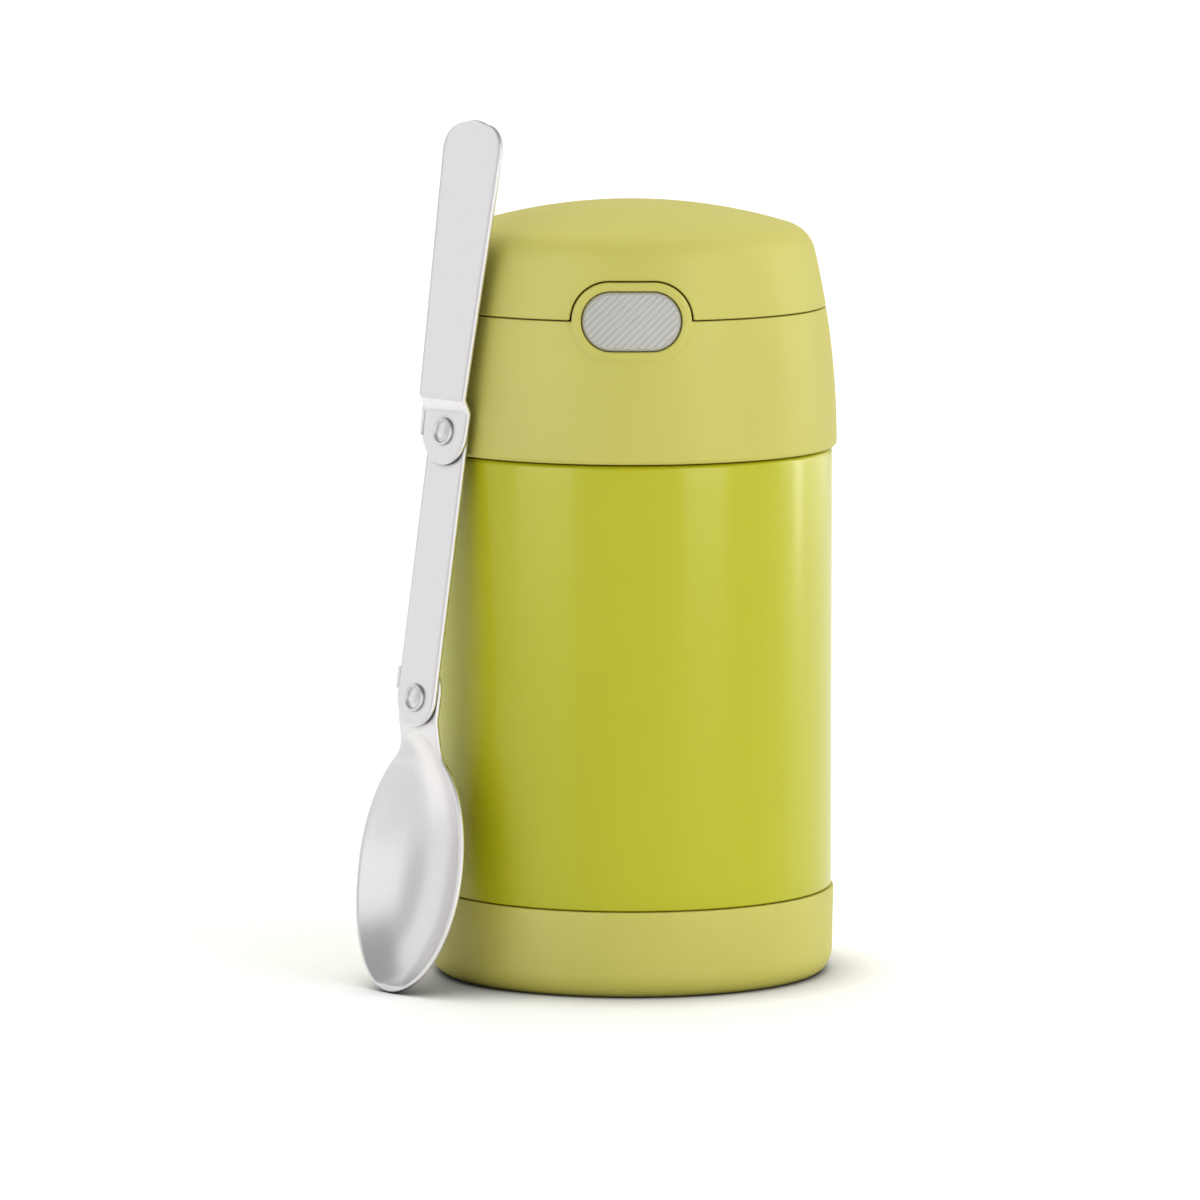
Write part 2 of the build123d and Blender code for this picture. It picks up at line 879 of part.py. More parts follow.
neck_face = -sheet - sheet_gap
tab_face = sheet + sheet_gap
rim_face = neck_face - bowl_drop
bowl_reach = bowl_length + neck_length
upper_rivet_z = (bowl_reach + rivet_pitch) * spoon_y.Z - rim_face * face_normal.Z
standoff = barrel_radius + spoon_gap + rivet_back_rise + sheet / cos(lean)
upper_rivet_at = facing * standoff + across * spoon_side + Vector(0, 0, upper_rivet_z)
lower_rivet_at = upper_rivet_at - spoon_y * rivet_pitch
spoon_plane = Plane(origin=lower_rivet_at, x_dir=spoon_x, z_dir=face_normal)
upper_plane = Plane(origin=upper_rivet_at, x_dir=spoon_x, z_dir=face_normal)
side_plane = Plane(origin=lower_rivet_at, x_dir=spoon_y, z_dir=spoon_x)
upper_side_plane = Plane(origin=upper_rivet_at, x_dir=spoon_y, z_dir=spoon_x)
pivot_hole = rivet_shank + pin_clearance

# In the side planes the first coordinate runs up the spoon and the second is the
# height over the front of the middle link.
handle_flare = (handle_top_width - handle_root_width) / 2 / handle_length
link_stop_x = handle_root_width / 2 + handle_flare * link_stop_high + stop_play
with BuildPart() as spoon_link:
    with BuildSketch(spoon_plane.offset(-sheet)):
        with Locations((0, rivet_pitch / 2)):
            SlotCenterToCenter(rivet_pitch, link_width, rotation=90)
        with Locations((-link_stop_x / 2, rivet_pitch + link_stop_high / 2)):
            Rectangle(link_stop_x, link_stop_high)
        with Locations((0, 0), (0, rivet_pitch)):
            Circle(pivot_hole, mode=Mode.SUBTRACT)
    extrude(amount=sheet)
    with BuildSketch(upper_plane.offset(-sheet)):
        with Locations((-link_stop_x - stop_thickness / 2, (link_stop_high - link_stop_low) / 2)):
            Rectangle(stop_thickness, link_stop_high + link_stop_low)
    extrude(amount=sheet + tab_face)
finish(spoon_link, "spoon_link")

with BuildPart() as spoon_handle:
    top_half = handle_top_width / 2
    root_half = handle_root_width / 2
    with BuildSketch(upper_plane):
        with BuildLine():
            Line((-root_half, 0), (-top_half, handle_length - handle_crown))
            ThreePointArc(
                (-top_half, handle_length - handle_crown),
                (0, handle_length),
                (top_half, handle_length - handle_crown),
            )
            Line((top_half, handle_length - handle_crown), (root_half, 0))
            ThreePointArc((root_half, 0), (0, -root_half), (-root_half, 0))
        make_face()
        fillet(vertices().group_by(Axis.Y)[-1], handle_corner)
        Circle(pivot_hole, mode=Mode.SUBTRACT)
    extrude(amount=tab_face + joggle_rise)
    joggle_end = joggle_start + joggle_run
    high = tab_face + joggle_rise
    with BuildSketch(upper_side_plane.offset(-handle_top_width)):
        with BuildLine():
            Polyline(
                (-handle_root_width, sheet_gap),
                (joggle_start, sheet_gap),
                (joggle_end, high - sheet),
                (handle_length + cut_margin, high - sheet),
                (handle_length + cut_margin, high),
                (joggle_end - sheet / 3, high),
                (joggle_start - sheet / 3, tab_face),
                (-handle_root_width, tab_face),
                close=True,
            )
        make_face()
    extrude(amount=2 * handle_top_width, mode=Mode.INTERSECT)
finish(spoon_handle, "spoon_handle")

# bowl: shell of an ellipsoid of revolution whose section at the rim is the outline
bowl_centre = bowl_length / 2 - bowl_reach
rim_half = bowl_width / 2
bowl_round = (rim_half**2 + bowl_depth**2) / (2 * bowl_depth)
axis_height = bowl_round - bowl_depth
bowl_stretch = bowl_length / 2 / sqrt(1 - (axis_height / bowl_round) ** 2)
rim_level = spoon_plane.offset(rim_face)
axis_level = rim_face + axis_height


def bowl_solid(inset):
    """Ellipsoid of revolution that the bowl is cut from, moved inwards by inset."""
    long_half = bowl_stretch - inset
    round_half = bowl_round - inset
    with BuildPart() as body:
        with BuildSketch(side_plane):
            with BuildLine():
                EllipticalCenterArc(
                    (bowl_centre, axis_level), long_half, round_half, start_angle=0, arc_size=180
                )
                Line(
                    (bowl_centre - long_half, axis_level),
                    (bowl_centre + long_half, axis_level),
                )
            make_face()
        axis_at = side_plane.from_local_coords(Vector(bowl_centre, axis_level, 0))
        revolve(axis=Axis(axis_at, spoon_y))
        with BuildSketch(rim_level):
            Rectangle(4 * bowl_length, 4 * bowl_length)
        extrude(amount=3 * bowl_round, mode=Mode.SUBTRACT)
    return body.part


neck_stop_x = link_width / 2 + stop_play
with BuildPart() as spoon_bowl:
    neck_low = -neck_length
    neck_bend_z = neck_low + neck_bend_length
    neck_half = neck_width / 2
    lap_face = rim_face + neck_lap
    neck_slope = (neck_face - lap_face) / neck_bend_length
    flare_face = lap_face - neck_flare * neck_slope
    with BuildSketch(spoon_plane.offset(rim_face - bowl_depth)):
        with BuildLine():
            Polyline(
                (neck_half, neck_top),
                (-neck_half, neck_top),
                (-neck_half, neck_low + neck_shoulder),
                (-neck_half - neck_shoulder, neck_low - neck_flare),
                (neck_half + neck_shoulder, neck_low - neck_flare),
                (neck_half, neck_low + neck_shoulder),
                close=True,
            )
        make_face()
        fillet(vertices().sort_by(Axis((0, 0, 0), (1, 1, 0)))[-1], neck_corner)
        with Locations((-neck_stop_x / 2, neck_stop_high / 2)):
            Rectangle(neck_stop_x, neck_stop_high)
    extrude(amount=bowl_depth - rim_face)
    with BuildSketch(side_plane.offset(-bowl_width)):
        with BuildLine():
            Polyline(
                (neck_top, neck_face),
                (neck_bend_z, neck_face),
                (neck_low - neck_flare, flare_face),
                (neck_low - neck_flare, flare_face - sheet),
                (neck_bend_z + sheet / 4, neck_face - sheet),
                (neck_top, neck_face - sheet),
                close=True,
            )
        make_face()
    extrude(amount=2 * bowl_width, mode=Mode.INTERSECT)
    with BuildSketch(spoon_plane.offset(neck_face - sheet)):
        with Locations(
            (-neck_stop_x - stop_thickness / 2, (neck_stop_low + neck_stop_high) / 2)
        ):
            Rectangle(stop_thickness, neck_stop_high - neck_stop_low)
    extrude(amount=2 * sheet + sheet_gap)
    with BuildSketch(spoon_plane.offset(neck_face - sheet)):
        Circle(pivot_hole)
    extrude(amount=sheet, mode=Mode.SUBTRACT)
    add(bowl_solid(0))
    add(bowl_solid(sheet), mode=Mode.SUBTRACT)
finish(spoon_bowl, "spoon_bowl")


def rivet(plane, back, front):
    """Rivet along a plane's normal, with its heads on the faces at back and front."""
    head_base = front + sheet_gap
    with BuildPart() as piece:
        with BuildSketch(plane.offset(back)):
            Circle(rivet_shank)
        extrude(amount=head_base - back)
        with BuildSketch(plane.offset(head_base)):
            Circle(rivet_head)
        extrude(amount=rivet_rise)
        fillet(
            edges().filter_by(GeomType.CIRCLE).sort_by(Axis(plane.origin, plane.z_dir))[-1],
            rivet_edge,
        )
        with BuildSketch(plane.offset(head_base + rivet_rise)):
            Circle(rivet_dimple)
        extrude(amount=-rivet_dimple_depth, taper=rivet_dimple_taper, mode=Mode.SUBTRACT)
        with BuildSketch(plane.offset(back)):
            Circle(rivet_head - rivet_rise)
        extrude(amount=-rivet_back_rise, taper=rivet_back_taper)
    return piece


finish(rivet(spoon_plane, neck_face - sheet - sheet_gap, 0), "lower_rivet")
finish(rivet(upper_plane, -sheet - sheet_gap, tab_face), "upper_rivet")
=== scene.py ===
import json
from math import asin, atan2, cos, exp, hypot, pi, radians, sin, sqrt, tan

import bpy
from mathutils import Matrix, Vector


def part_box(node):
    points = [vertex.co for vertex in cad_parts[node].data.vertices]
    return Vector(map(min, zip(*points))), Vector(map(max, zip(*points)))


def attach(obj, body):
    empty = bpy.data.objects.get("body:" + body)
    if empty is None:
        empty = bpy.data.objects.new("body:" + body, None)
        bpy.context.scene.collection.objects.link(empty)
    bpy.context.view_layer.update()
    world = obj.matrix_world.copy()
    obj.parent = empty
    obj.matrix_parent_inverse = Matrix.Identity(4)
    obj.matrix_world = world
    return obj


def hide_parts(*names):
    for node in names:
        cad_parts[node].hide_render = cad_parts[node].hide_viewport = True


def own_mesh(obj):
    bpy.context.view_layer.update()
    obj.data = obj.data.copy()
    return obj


# An insulated food jar with a flip-top lid, and its folding spoon leaning on it.
# Lengths are in millimetres until a mesh is made, which is in metres.

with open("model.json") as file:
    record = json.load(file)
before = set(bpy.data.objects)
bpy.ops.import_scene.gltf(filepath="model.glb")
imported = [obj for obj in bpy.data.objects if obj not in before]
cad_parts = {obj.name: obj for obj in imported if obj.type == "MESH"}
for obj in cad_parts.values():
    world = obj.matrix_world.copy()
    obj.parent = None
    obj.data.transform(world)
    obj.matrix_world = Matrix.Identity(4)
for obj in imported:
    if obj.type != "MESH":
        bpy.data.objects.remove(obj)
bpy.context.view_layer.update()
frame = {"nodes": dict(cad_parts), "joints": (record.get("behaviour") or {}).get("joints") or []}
MM = 0.001

joints = {joint["name"]: joint for joint in frame["joints"]}


def joint_place(name):
    """Place of a hinge, in millimetres."""
    return Vector(joints[name]["pos_m"]) / MM


# ---------- sizes
# lid outline: a barrel, a shoulder and a low dome, as in the CAD model
barrel_radius = 45.52
barrel_widest_z = 117.6
barrel_bow = 187.5
lid_top_z = 171.3
dome_bow = 121.3
lid_shoulder = 7.6
collar_low_z = 117.1
collar_low_round = 1.0
collar_top_round = 0.25
collar_wall = 1.8
seam_z = joint_place("flip_open").z
seam = 0.3
cover_wall = 1.6
cover_edge = 0.35

# steel body and boot
body_radius = 44.5
body_wall = 0.6
body_low_radius = 43.1
body_low_z = 2.2
body_step_round = 0.3
shoulder_z = 116.8
shoulder_corner = 1.2
neck_radius = 39.2
neck_top_z = 131.0
neck_fillet = 0.6
sleeve_low = 0.4
sleeve_skin = (0.05, 0.02)
boot_top_z = 19.1
boot_top_radius = 45.05
boot_top_round = 0.35
boot_lip_round = 0.2
boot_foot_radius = 44.8
boot_edge = (3.75, 5.4)
boot_inner_radius = 43.2
boot_floor_z = 2.2
boot_groove = (20.05, 30.05)
boot_groove_depth = 0.8
boot_groove_edge = 0.3

# thread on the neck
thread_lead = 8.0
thread_low_z = 120.3
thread_turns = 0.95
thread_depth = 1.4
thread_root = 1.7
thread_crest = 1.0
thread_edge = 0.15
thread_sink = 0.25

# bezel and button: stadium outlines, each a half length of its straight and a radius
bezel_straight = 4.7
bezel_round = 8.35
bezel_proud = 0.55
bezel_edge = 0.5
hole_straight = 4.45
hole_round = 6.55
hole_lap = 0.2
button_straight = 4.45
button_round = 6.3
button_base = -0.05
button_edge = 0.55
button_back = 38.3
flange_out = 1.3
flange_width = 2.2
flange_rises = (-1.95, -3.05)
rib_height = 0.34
rib_pitch = 1.2
rib_angle = 44.0
rib_fade = (0.25, 0.65)
notch_gap = 0.35
notch_corner = 0.5
notch_reach = 24.0
spring_wire = 0.25
spring_coils = 4

# the bezel's soft start, as (distance in from its outline, rise), below the seam
bezel_soft = [(-1.0, -0.06), (-0.7, 0.03), (-0.35, 0.18), (0.1, 0.42), (0.6, bezel_proud)]
# the bezel's inner lip, as (distance short of the hole, depth under its face)
bezel_lip = [(0.35, 0.0), (0.12, 0.1), (0.0, 0.35)]
# heights over the collar's top between which the section turns from soft to upright
bezel_turn = (-0.9, 0.1)

# hinge of the flip lid
hinge_y = joint_place("flip_open").y
knuckle_radius = 2.6
knuckle_edge = 0.3
hinge_room = 2.9
knuckle_x = (4.0, 8.0)
lug_x = (8.3, 12.9)
lug_gap = 0.3

# folding spoon: lengths run up from its rivets, heights out of the link's face
sheet = 1.1
sheet_edge = 0.3
sheet_gap = 0.05
least_half = 0.15
link_length = 58.5
link_half = 6.3
neck_half = 6.4
handle_root_half = 7.3
handle_flare = 0.0403
handle_length = 68.2
handle_corner = 5.8
handle_crown = 0.7
tab_face = sheet + sheet_gap
joggle_low = 4.4
joggle_high = 7.1
joggle_rise = 2.0
joggle_bend = 0.35
joggle_margin = 0.5
bowl_half_length = 27.2
bowl_half_width = 17.4
bowl_centre = -37.6
bowl_depth = 8.2
bowl_blend = (-14.4, -8.6)
tip_rise = 1.7
dish_deepest = -36.0
dish_top = -7.6
dish_tip = bowl_centre - bowl_half_length + 1.4
dish_land = 0.7
dish_cap = 5.0
neck_face = -sheet - sheet_gap
rim_face = neck_face - 2.85
neck_bend = 4.5
neck_sink = 7.0
neck_end = 6.5

# powers that shape the sinking neck, and the dish towards its top, towards its tip and across
neck_power = 1.3
dish_top_powers = (2.0, 0.9)
dish_tip_powers = (2.2, 0.75)
dish_cross_power = 2.3

# rivet heads: a low dome, then a raised ring as (radius, height)
rivet_head = 3.0
rivet_back = (2.0, 0.68)
dome_high = 0.74
dome_fall = 0.5
dome_radii = (0.0, 0.5, 1.0, 1.4, 1.75, 2.05, 2.25)
ring_inside = [(2.36, 0.27), (2.5, 0.5), (2.6, 0.66)]
ring_outside = [(2.7, 0.7), (2.82, 0.64), (2.92, 0.45), (2.97, 0.25), (rivet_head, 0.0)]

# stops: inner side, lower and upper end of each
link_stop = (-7.36, -1.4, 5.2)
neck_stop = (-6.36, 1.4, 6.3)
stop_thickness = 0.7
stop_root = 1.5
stop_bend = 0.8
stop_round = 0.1
stop_fillet = 0.3
# how the inner side leans over at its top, as (distance over the sheet, depth under the top)
stop_lean = [(0.28, 0.0), (0.16, 0.07), (0.05, 0.275), (0.0, 0.55)]
# round ends, as (distance from the end, how much the section shrinks there)
stop_ends = [(0.0, 0.2), (0.06, 0.06), (0.2, 0.0)]


# ---------- outlines
def arc(centre, radius, start, end, steps):
    """Points of a circular arc, with its angles in degrees."""
    turns = [radians(start + (end - start) * i / steps) for i in range(steps + 1)]
    return [(centre[0] + radius * cos(a), centre[1] + radius * sin(a)) for a in turns]


def smooth(value, low, high):
    """0 below low, 1 above high and a smooth step between them."""
    share = min(1.0, max(0.0, (value - low) / (high - low)))
    return share * share * (3 - 2 * share)


def mixed(a, b, share):
    """Point between two points."""
    return tuple(p + (q - p) * share for p, q in zip(a, b))


def barrel_at(z, rise=0.0):
    """Radius of the lid's side at height z, with rise added outwards."""
    bow = barrel_bow + rise
    return barrel_radius - barrel_bow + sqrt(bow * bow - (z - barrel_widest_z) ** 2)


def shoulder_circle(inset):
    """Centre of the round shoulder and the angles at which it meets side and top."""
    fillet = lid_shoulder - inset
    side = (barrel_radius - barrel_bow, barrel_widest_z)
    top = (0.0, lid_top_z - dome_bow)
    side_reach = barrel_bow - inset - fillet
    top_reach = dome_bow - inset - fillet
    span = hypot(side[0] - top[0], side[1] - top[1])
    along = (side_reach**2 - top_reach**2 + span**2) / (2 * span)
    away = sqrt(side_reach**2 - along**2)
    ux, uz = (top[0] - side[0]) / span, (top[1] - side[1]) / span
    spots = [
        (side[0] + along * ux - sign * away * uz, side[1] + along * uz + sign * away * ux)
        for sign in (-1, 1)
    ]
    centre = max(spots, key=lambda spot: spot[1])
    side_angle = atan2(centre[1] - side[1], centre[0] - side[0])
    top_angle = atan2(centre[1] - top[1], centre[0] - top[0])
    return centre, fillet, side_angle, top_angle


def lid_upper(inset, dome_steps, fillet_steps):
    """Half outline of the lid's top from its centre to where the shoulder meets the side."""
    centre, fillet, side_angle, top_angle = shoulder_circle(inset)
    bow = dome_bow - inset
    dome = []
    for i in range(dome_steps):
        a = pi / 2 + (top_angle - pi / 2) * i / dome_steps
        dome.append((bow * cos(a), lid_top_z - dome_bow + bow * sin(a)))
    curve = []
    for i in range(fillet_steps + 1):
        a = top_angle + (side_angle - top_angle) * i / fillet_steps
        curve.append((centre[0] + fillet * cos(a), centre[1] + fillet * sin(a)))
    return dome + curve


def stadium(straight, radius, steps):
    """Closed outline of a stadium round (0, seam_z) as (x, z, outward x, outward z)."""
    points = []
    for side in (1, -1):
        centre = side * straight
        for i in range(steps + 1):
            a = radians(-90 * side + 180 * i / steps)
            points.append((centre + radius * cos(a), seam_z + radius * sin(a), cos(a), sin(a)))
        for i in range(1, steps // 4):
            x = centre * (1 - 2 * i / (steps // 4))
            points.append((x, seam_z + side * radius, 0.0, float(side)))
    return points


def on_barrel(x, z, rise):
    """Point at the front of the lid, straight behind (x, z), at a height over its side."""
    reach = barrel_at(z, rise)
    return (x, -sqrt(reach * reach - x * x), z)


# ---------- meshes
crease_angle = 35


def add_object(name, points, faces, crease=crease_angle):
    """Mesh object from points in millimetres, smooth except at its sharp edges."""
    mesh = bpy.data.meshes.new(name)
    mesh.from_pydata([tuple(c * MM for c in p) for p in points], [], faces)
    mesh.validate()
    mesh.update()
    mesh.shade_smooth()
    mesh.set_sharp_from_angle(angle=radians(crease))
    obj = bpy.data.objects.new(name, mesh)
    bpy.context.scene.collection.objects.link(obj)
    return obj


def loft(name, loops, wrap=False, crease=crease_angle):
    """Skin over closed loops of points. A loop of one point closes an end."""
    points = []
    starts = []
    for loop in loops:
        starts.append(len(points))
        points.extend(loop)
    faces = []
    pairs = list(zip(range(len(loops) - 1), range(1, len(loops))))
    if wrap:
        pairs.append((len(loops) - 1, 0))
    for a, b in pairs:
        count = max(len(loops[a]), len(loops[b]))
        for i in range(count):
            j = (i + 1) % count
            corners = [
                starts[a] + i % len(loops[a]),
                starts[a] + j % len(loops[a]),
                starts[b] + j % len(loops[b]),
                starts[b] + i % len(loops[b]),
            ]
            faces.append(tuple(dict.fromkeys(corners)))
    return add_object(name, points, faces, crease)


def ring(radius, z, count):
    """Horizontal circle of points, or one point on the axis."""
    if radius < 1e-6:
        return [(0.0, 0.0, z)]
    turns = [2 * pi * i / count for i in range(count)]
    return [(radius * sin(a), -radius * cos(a), z) for a in turns]


def lathe(name, outline, count=256, wrap=False):
    """Solid of revolution about the jar's axis."""
    return loft(name, [ring(r, z, count) for r, z in outline], wrap)


def middle_of(loop):
    """Loop of one point in the middle of another, which closes an end."""
    return [tuple(sum(p[k] for p in loop) / len(loop) for k in range(3))]


def grid(columns, rows):
    """Faces over a grid of points, and the points round its edge in order."""
    stride = columns + 1
    faces = []
    for j in range(rows):
        for i in range(columns):
            a = j * stride + i
            faces.append((a, a + 1, a + stride + 1, a + stride))
    rim = list(range(stride)) + [j * stride + columns for j in range(1, rows + 1)]
    rim += [rows * stride + i for i in range(columns - 1, -1, -1)]
    rim += [j * stride for j in range(rows - 1, 0, -1)]
    return faces, rim


def spaced(points, step):
    """Outline with extra points, so that none of its runs is longer than step."""
    out = [points[0]]
    for a, b in zip(points, points[1:]):
        parts = max(1, int(hypot(b[0] - a[0], b[1] - a[1]) / step))
        out.extend(mixed(a, b, i / parts) for i in range(1, parts + 1))
    return out


def join(name, pieces):
    """One object from several."""
    bpy.ops.object.select_all(action="DESELECT")
    for piece in pieces:
        piece.select_set(True)
    bpy.context.view_layer.objects.active = pieces[0]
    bpy.ops.object.join()
    pieces[0].name = name
    pieces[0].data.name = name
    return pieces[0]


def cut(obj, cutter):
    """Takes the cutter out of the object."""
    modifier = obj.modifiers.new("cut", "BOOLEAN")
    modifier.operation = "DIFFERENCE"
    modifier.solver = "EXACT"
    modifier.object = cutter
    bpy.context.view_layer.objects.active = obj
    bpy.ops.object.modifier_apply(modifier=modifier.name)
    bpy.data.objects.remove(cutter)
    obj.data.set_sharp_from_angle(angle=radians(crease_angle))


def cross_bar(name, radius, low_x, high_x, edge=0.0):
    """Round bar along X on the lid's hinge axis, with rounded ends."""
    profile = [(low_x, 0.0), (low_x, radius - edge)]
    if edge:
        profile += [
            (low_x + edge * (1 - cos(a)), radius - edge * (1 - sin(a)))
            for a in (pi / 8, pi / 4, 3 * pi / 8, pi / 2)
        ]
        profile += [(low_x + high_x - x, r) for x, r in reversed(profile[1:])]
    else:
        profile += [(high_x, radius)]
    profile.append((high_x, 0.0))
    loops = []
    for x, r in profile:
        turns = [2 * pi * i / 48 for i in range(48)] if r else [0.0]
        loops.append([(x, hinge_y + r * cos(a), seam_z + r * sin(a)) for a in turns])
    return loft(name, loops)


def bar_pair(name, span):
    """Two round bars on the hinge axis, over the same span left and right of the middle."""
    low_x, high_x = span
    return [
        cross_bar(name, knuckle_radius, -high_x, -low_x, knuckle_edge),
        cross_bar(name, knuckle_radius, low_x, high_x, knuckle_edge),
    ]


def put_on(obj, material):
    """Makes a material the object's only one."""
    obj.data.materials.clear()
    obj.data.materials.append(material)


def dress(obj, body, node, material):
    """Gives a finished piece its material and its body, and hides the CAD node it stands for."""
    put_on(obj, material)
    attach(obj, body)
    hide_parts(node)


# ---------- materials
white = (1, 1, 1, 1)


def colour(red, green, blue):
    """Linear colour from the 0 to 255 values seen on a screen."""
    channels = [c / 255 for c in (red, green, blue)]
    linear = [c / 12.92 if c <= 0.04045 else ((c + 0.055) / 1.055) ** 2.4 for c in channels]
    return tuple(linear) + (1,)


def shade(tone, factor):
    """A colour made lighter or darker."""
    return tuple(c * factor for c in tone[:3]) + (1,)


def new_material(name):
    """Material with its nodes and links."""
    material = bpy.data.materials.new(name)
    material.use_nodes = True
    return material, material.node_tree.nodes, material.node_tree.links


def add_noise(nodes, links, scale, detail, stretch=(1, 1, 1)):
    """Value of a noise over the object's own coordinates, its scale in features per metre."""
    place = nodes.new("ShaderNodeTexCoord")
    mapping = nodes.new("ShaderNodeMapping")
    mapping.inputs["Scale"].default_value = stretch
    noise = nodes.new("ShaderNodeTexNoise")
    noise.inputs["Scale"].default_value = scale
    noise.inputs["Detail"].default_value = detail
    links.new(place.outputs["Object"], mapping.inputs["Vector"])
    links.new(mapping.outputs["Vector"], noise.inputs["Vector"])
    return noise.outputs["Fac"]


def add_ramp(nodes, links, source, low, high, span=(0.3, 0.7)):
    """Ramp from one colour to another, over a span of its source's values."""
    ramp = nodes.new("ShaderNodeValToRGB")
    for element, tone, position in zip(ramp.color_ramp.elements, (low, high), span):
        element.color = tone
        element.position = position
    links.new(source, ramp.inputs["Fac"])
    return ramp.outputs["Color"]


def add_painted_contact_shade(nodes, links, reach, low, high, span):
    """Painted shade: a ramp from low, where another surface is near, to high, out of its reach in
    millimetres.
    """
    contact = nodes.new("ShaderNodeAmbientOcclusion")
    contact.inputs["Distance"].default_value = reach * MM
    return add_ramp(nodes, links, contact.outputs["AO"], low, high, span)


def add_bump(nodes, links, source, shader, strength, distance):
    """Bump of a source's height, its distance in metres."""
    bump = nodes.new("ShaderNodeBump")
    bump.inputs["Strength"].default_value = strength
    bump.inputs["Distance"].default_value = distance
    links.new(source, bump.inputs["Height"])
    links.new(bump.outputs["Normal"], shader.inputs["Normal"])


def rough_range(nodes, links, source, shader, low, high):
    """Roughness that goes from low to high with its source."""
    spread = nodes.new("ShaderNodeMapRange")
    spread.inputs["To Min"].default_value = low
    spread.inputs["To Max"].default_value = high
    links.new(source, spread.inputs["Value"])
    links.new(spread.outputs["Result"], shader.inputs["Roughness"])


def moulded(name, tone, roughness, grain=2600, depth=0.00004, spread=0.03):
    """Moulded plastic: a fine spark-eroded grain and a faint unevenness of colour."""
    material, nodes, links = new_material(name)
    shader = nodes["Principled BSDF"]
    patches = add_noise(nodes, links, scale=35, detail=3)
    ramp = add_ramp(nodes, links, patches, shade(tone, 1 - spread), shade(tone, 1 + spread))
    links.new(ramp, shader.inputs["Base Color"])
    fine = add_noise(nodes, links, scale=grain, detail=2)
    rough_range(nodes, links, fine, shader, roughness - 0.06, roughness + 0.06)
    add_bump(nodes, links, fine, shader, strength=0.25, distance=depth)
    return material


def painted(name, tone):
    """Glossy enamel on steel: clear coat over a slightly rough colour, faint orange peel."""
    material, nodes, links = new_material(name)
    shader = nodes["Principled BSDF"]
    patches = add_noise(nodes, links, scale=20, detail=2)
    ramp = add_ramp(nodes, links, patches, shade(tone, 0.985), shade(tone, 1.015))
    links.new(ramp, shader.inputs["Base Color"])
    shader.inputs["Roughness"].default_value = 0.38
    shader.inputs["Specular IOR Level"].default_value = 0.2
    shader.inputs["Coat Weight"].default_value = 0.4
    shader.inputs["Coat Roughness"].default_value = 0.16
    peel = add_noise(nodes, links, scale=420, detail=2)
    add_bump(nodes, links, peel, shader, strength=0.08, distance=0.00005)
    return material


def brushed(name, tone, roughness, stretch, depth=0.00002, metallic=1.0):
    """Satin steel, its fine brushing drawn out along one direction, with painted shade darkening
    its colour in crevices and between parts.
    """
    material, nodes, links = new_material(name)
    shader = nodes["Principled BSDF"]
    shader.inputs["Metallic"].default_value = metallic
    streaks = add_noise(nodes, links, scale=2200, detail=3, stretch=stretch)
    ramp = add_ramp(nodes, links, streaks, shade(tone, 0.985), shade(tone, 1.01))
    # painted shade: the steel's colour goes dark where another surface is near, in crevices and
    # gaps between parts
    painted_crevice_shade = add_painted_contact_shade(nodes, links, 5.0, shade(white, 0.12), white, span=(0.15, 0.9))
    mix = nodes.new("ShaderNodeMix")
    mix.data_type = "RGBA"
    mix.blend_type = "MULTIPLY"
    mix.inputs["Factor"].default_value = 1.0
    links.new(ramp, mix.inputs["A"])
    links.new(painted_crevice_shade, mix.inputs["B"])
    links.new(mix.outputs["Result"], shader.inputs["Base Color"])
    rough_range(nodes, links, streaks, shader, roughness - 0.02, roughness + 0.03)
    add_bump(nodes, links, streaks, shader, strength=0.1, distance=depth)
    return material


gloss_lime = painted("gloss_lime_paint", colour(190, 189, 22))
matte_lime = moulded("matte_lime_plastic", colour(201, 194, 90), 0.52)
button_grey = moulded("button_grey_plastic", colour(197, 196, 191), 0.5)
pale_plastic = moulded("pale_grey_plastic", colour(214, 214, 210), 0.42, grain=1800)
silicone = moulded(
    "translucent_silicone", colour(222, 221, 214), 0.55, grain=1500, depth=0.00002, spread=0.02
)
foam = moulded("insulating_foam", colour(236, 234, 224), 0.9, grain=900, depth=0.0003, spread=0.05)
sealant = moulded("dark_sealant", colour(60, 58, 55), 0.3, grain=600, depth=0.0001, spread=0.05)
spoon_steel = brushed(
    "spoon_satin_steel", colour(236, 234, 234), 0.3, stretch=(1, 1, 0.15), depth=0.00001
)
bare_steel = brushed(
    "drawn_steel", colour(212, 212, 210), 0.36, stretch=(1, 1, 0.08), depth=0.00001, metallic=0.75
)
wire_steel = brushed("spring_steel", colour(190, 190, 190), 0.2, stretch=(1, 1, 1))


# ---------- steel body and boot
def thread_ridge(first_angle):
    """One helical ridge on the neck, which fades out at both ends."""
    steps = int(96 * thread_turns)
    root = neck_radius - thread_sink
    crest = neck_radius + thread_depth
    lower = [
        (root, -thread_root / 2),
        (crest - thread_edge, -thread_crest / 2),
        (crest, -thread_crest / 2 + thread_edge),
    ]
    section = lower + [(radius, -height) for radius, height in reversed(lower)]
    loops = []
    for i in range(steps + 1):
        a = first_angle + 2 * pi * thread_turns * i / steps
        z = thread_low_z + thread_lead * thread_turns * i / steps
        fade = smooth(i, 0, 4) * smooth(steps - i, 0, 4)
        loop = []
        for radius, height in section:
            reach = root + (radius - root) * fade
            loop.append((reach * cos(a), reach * sin(a), z + height))
        loops.append(loop)
    return loft("thread_ridge", [middle_of(loops[0])] + loops + [middle_of(loops[-1])])


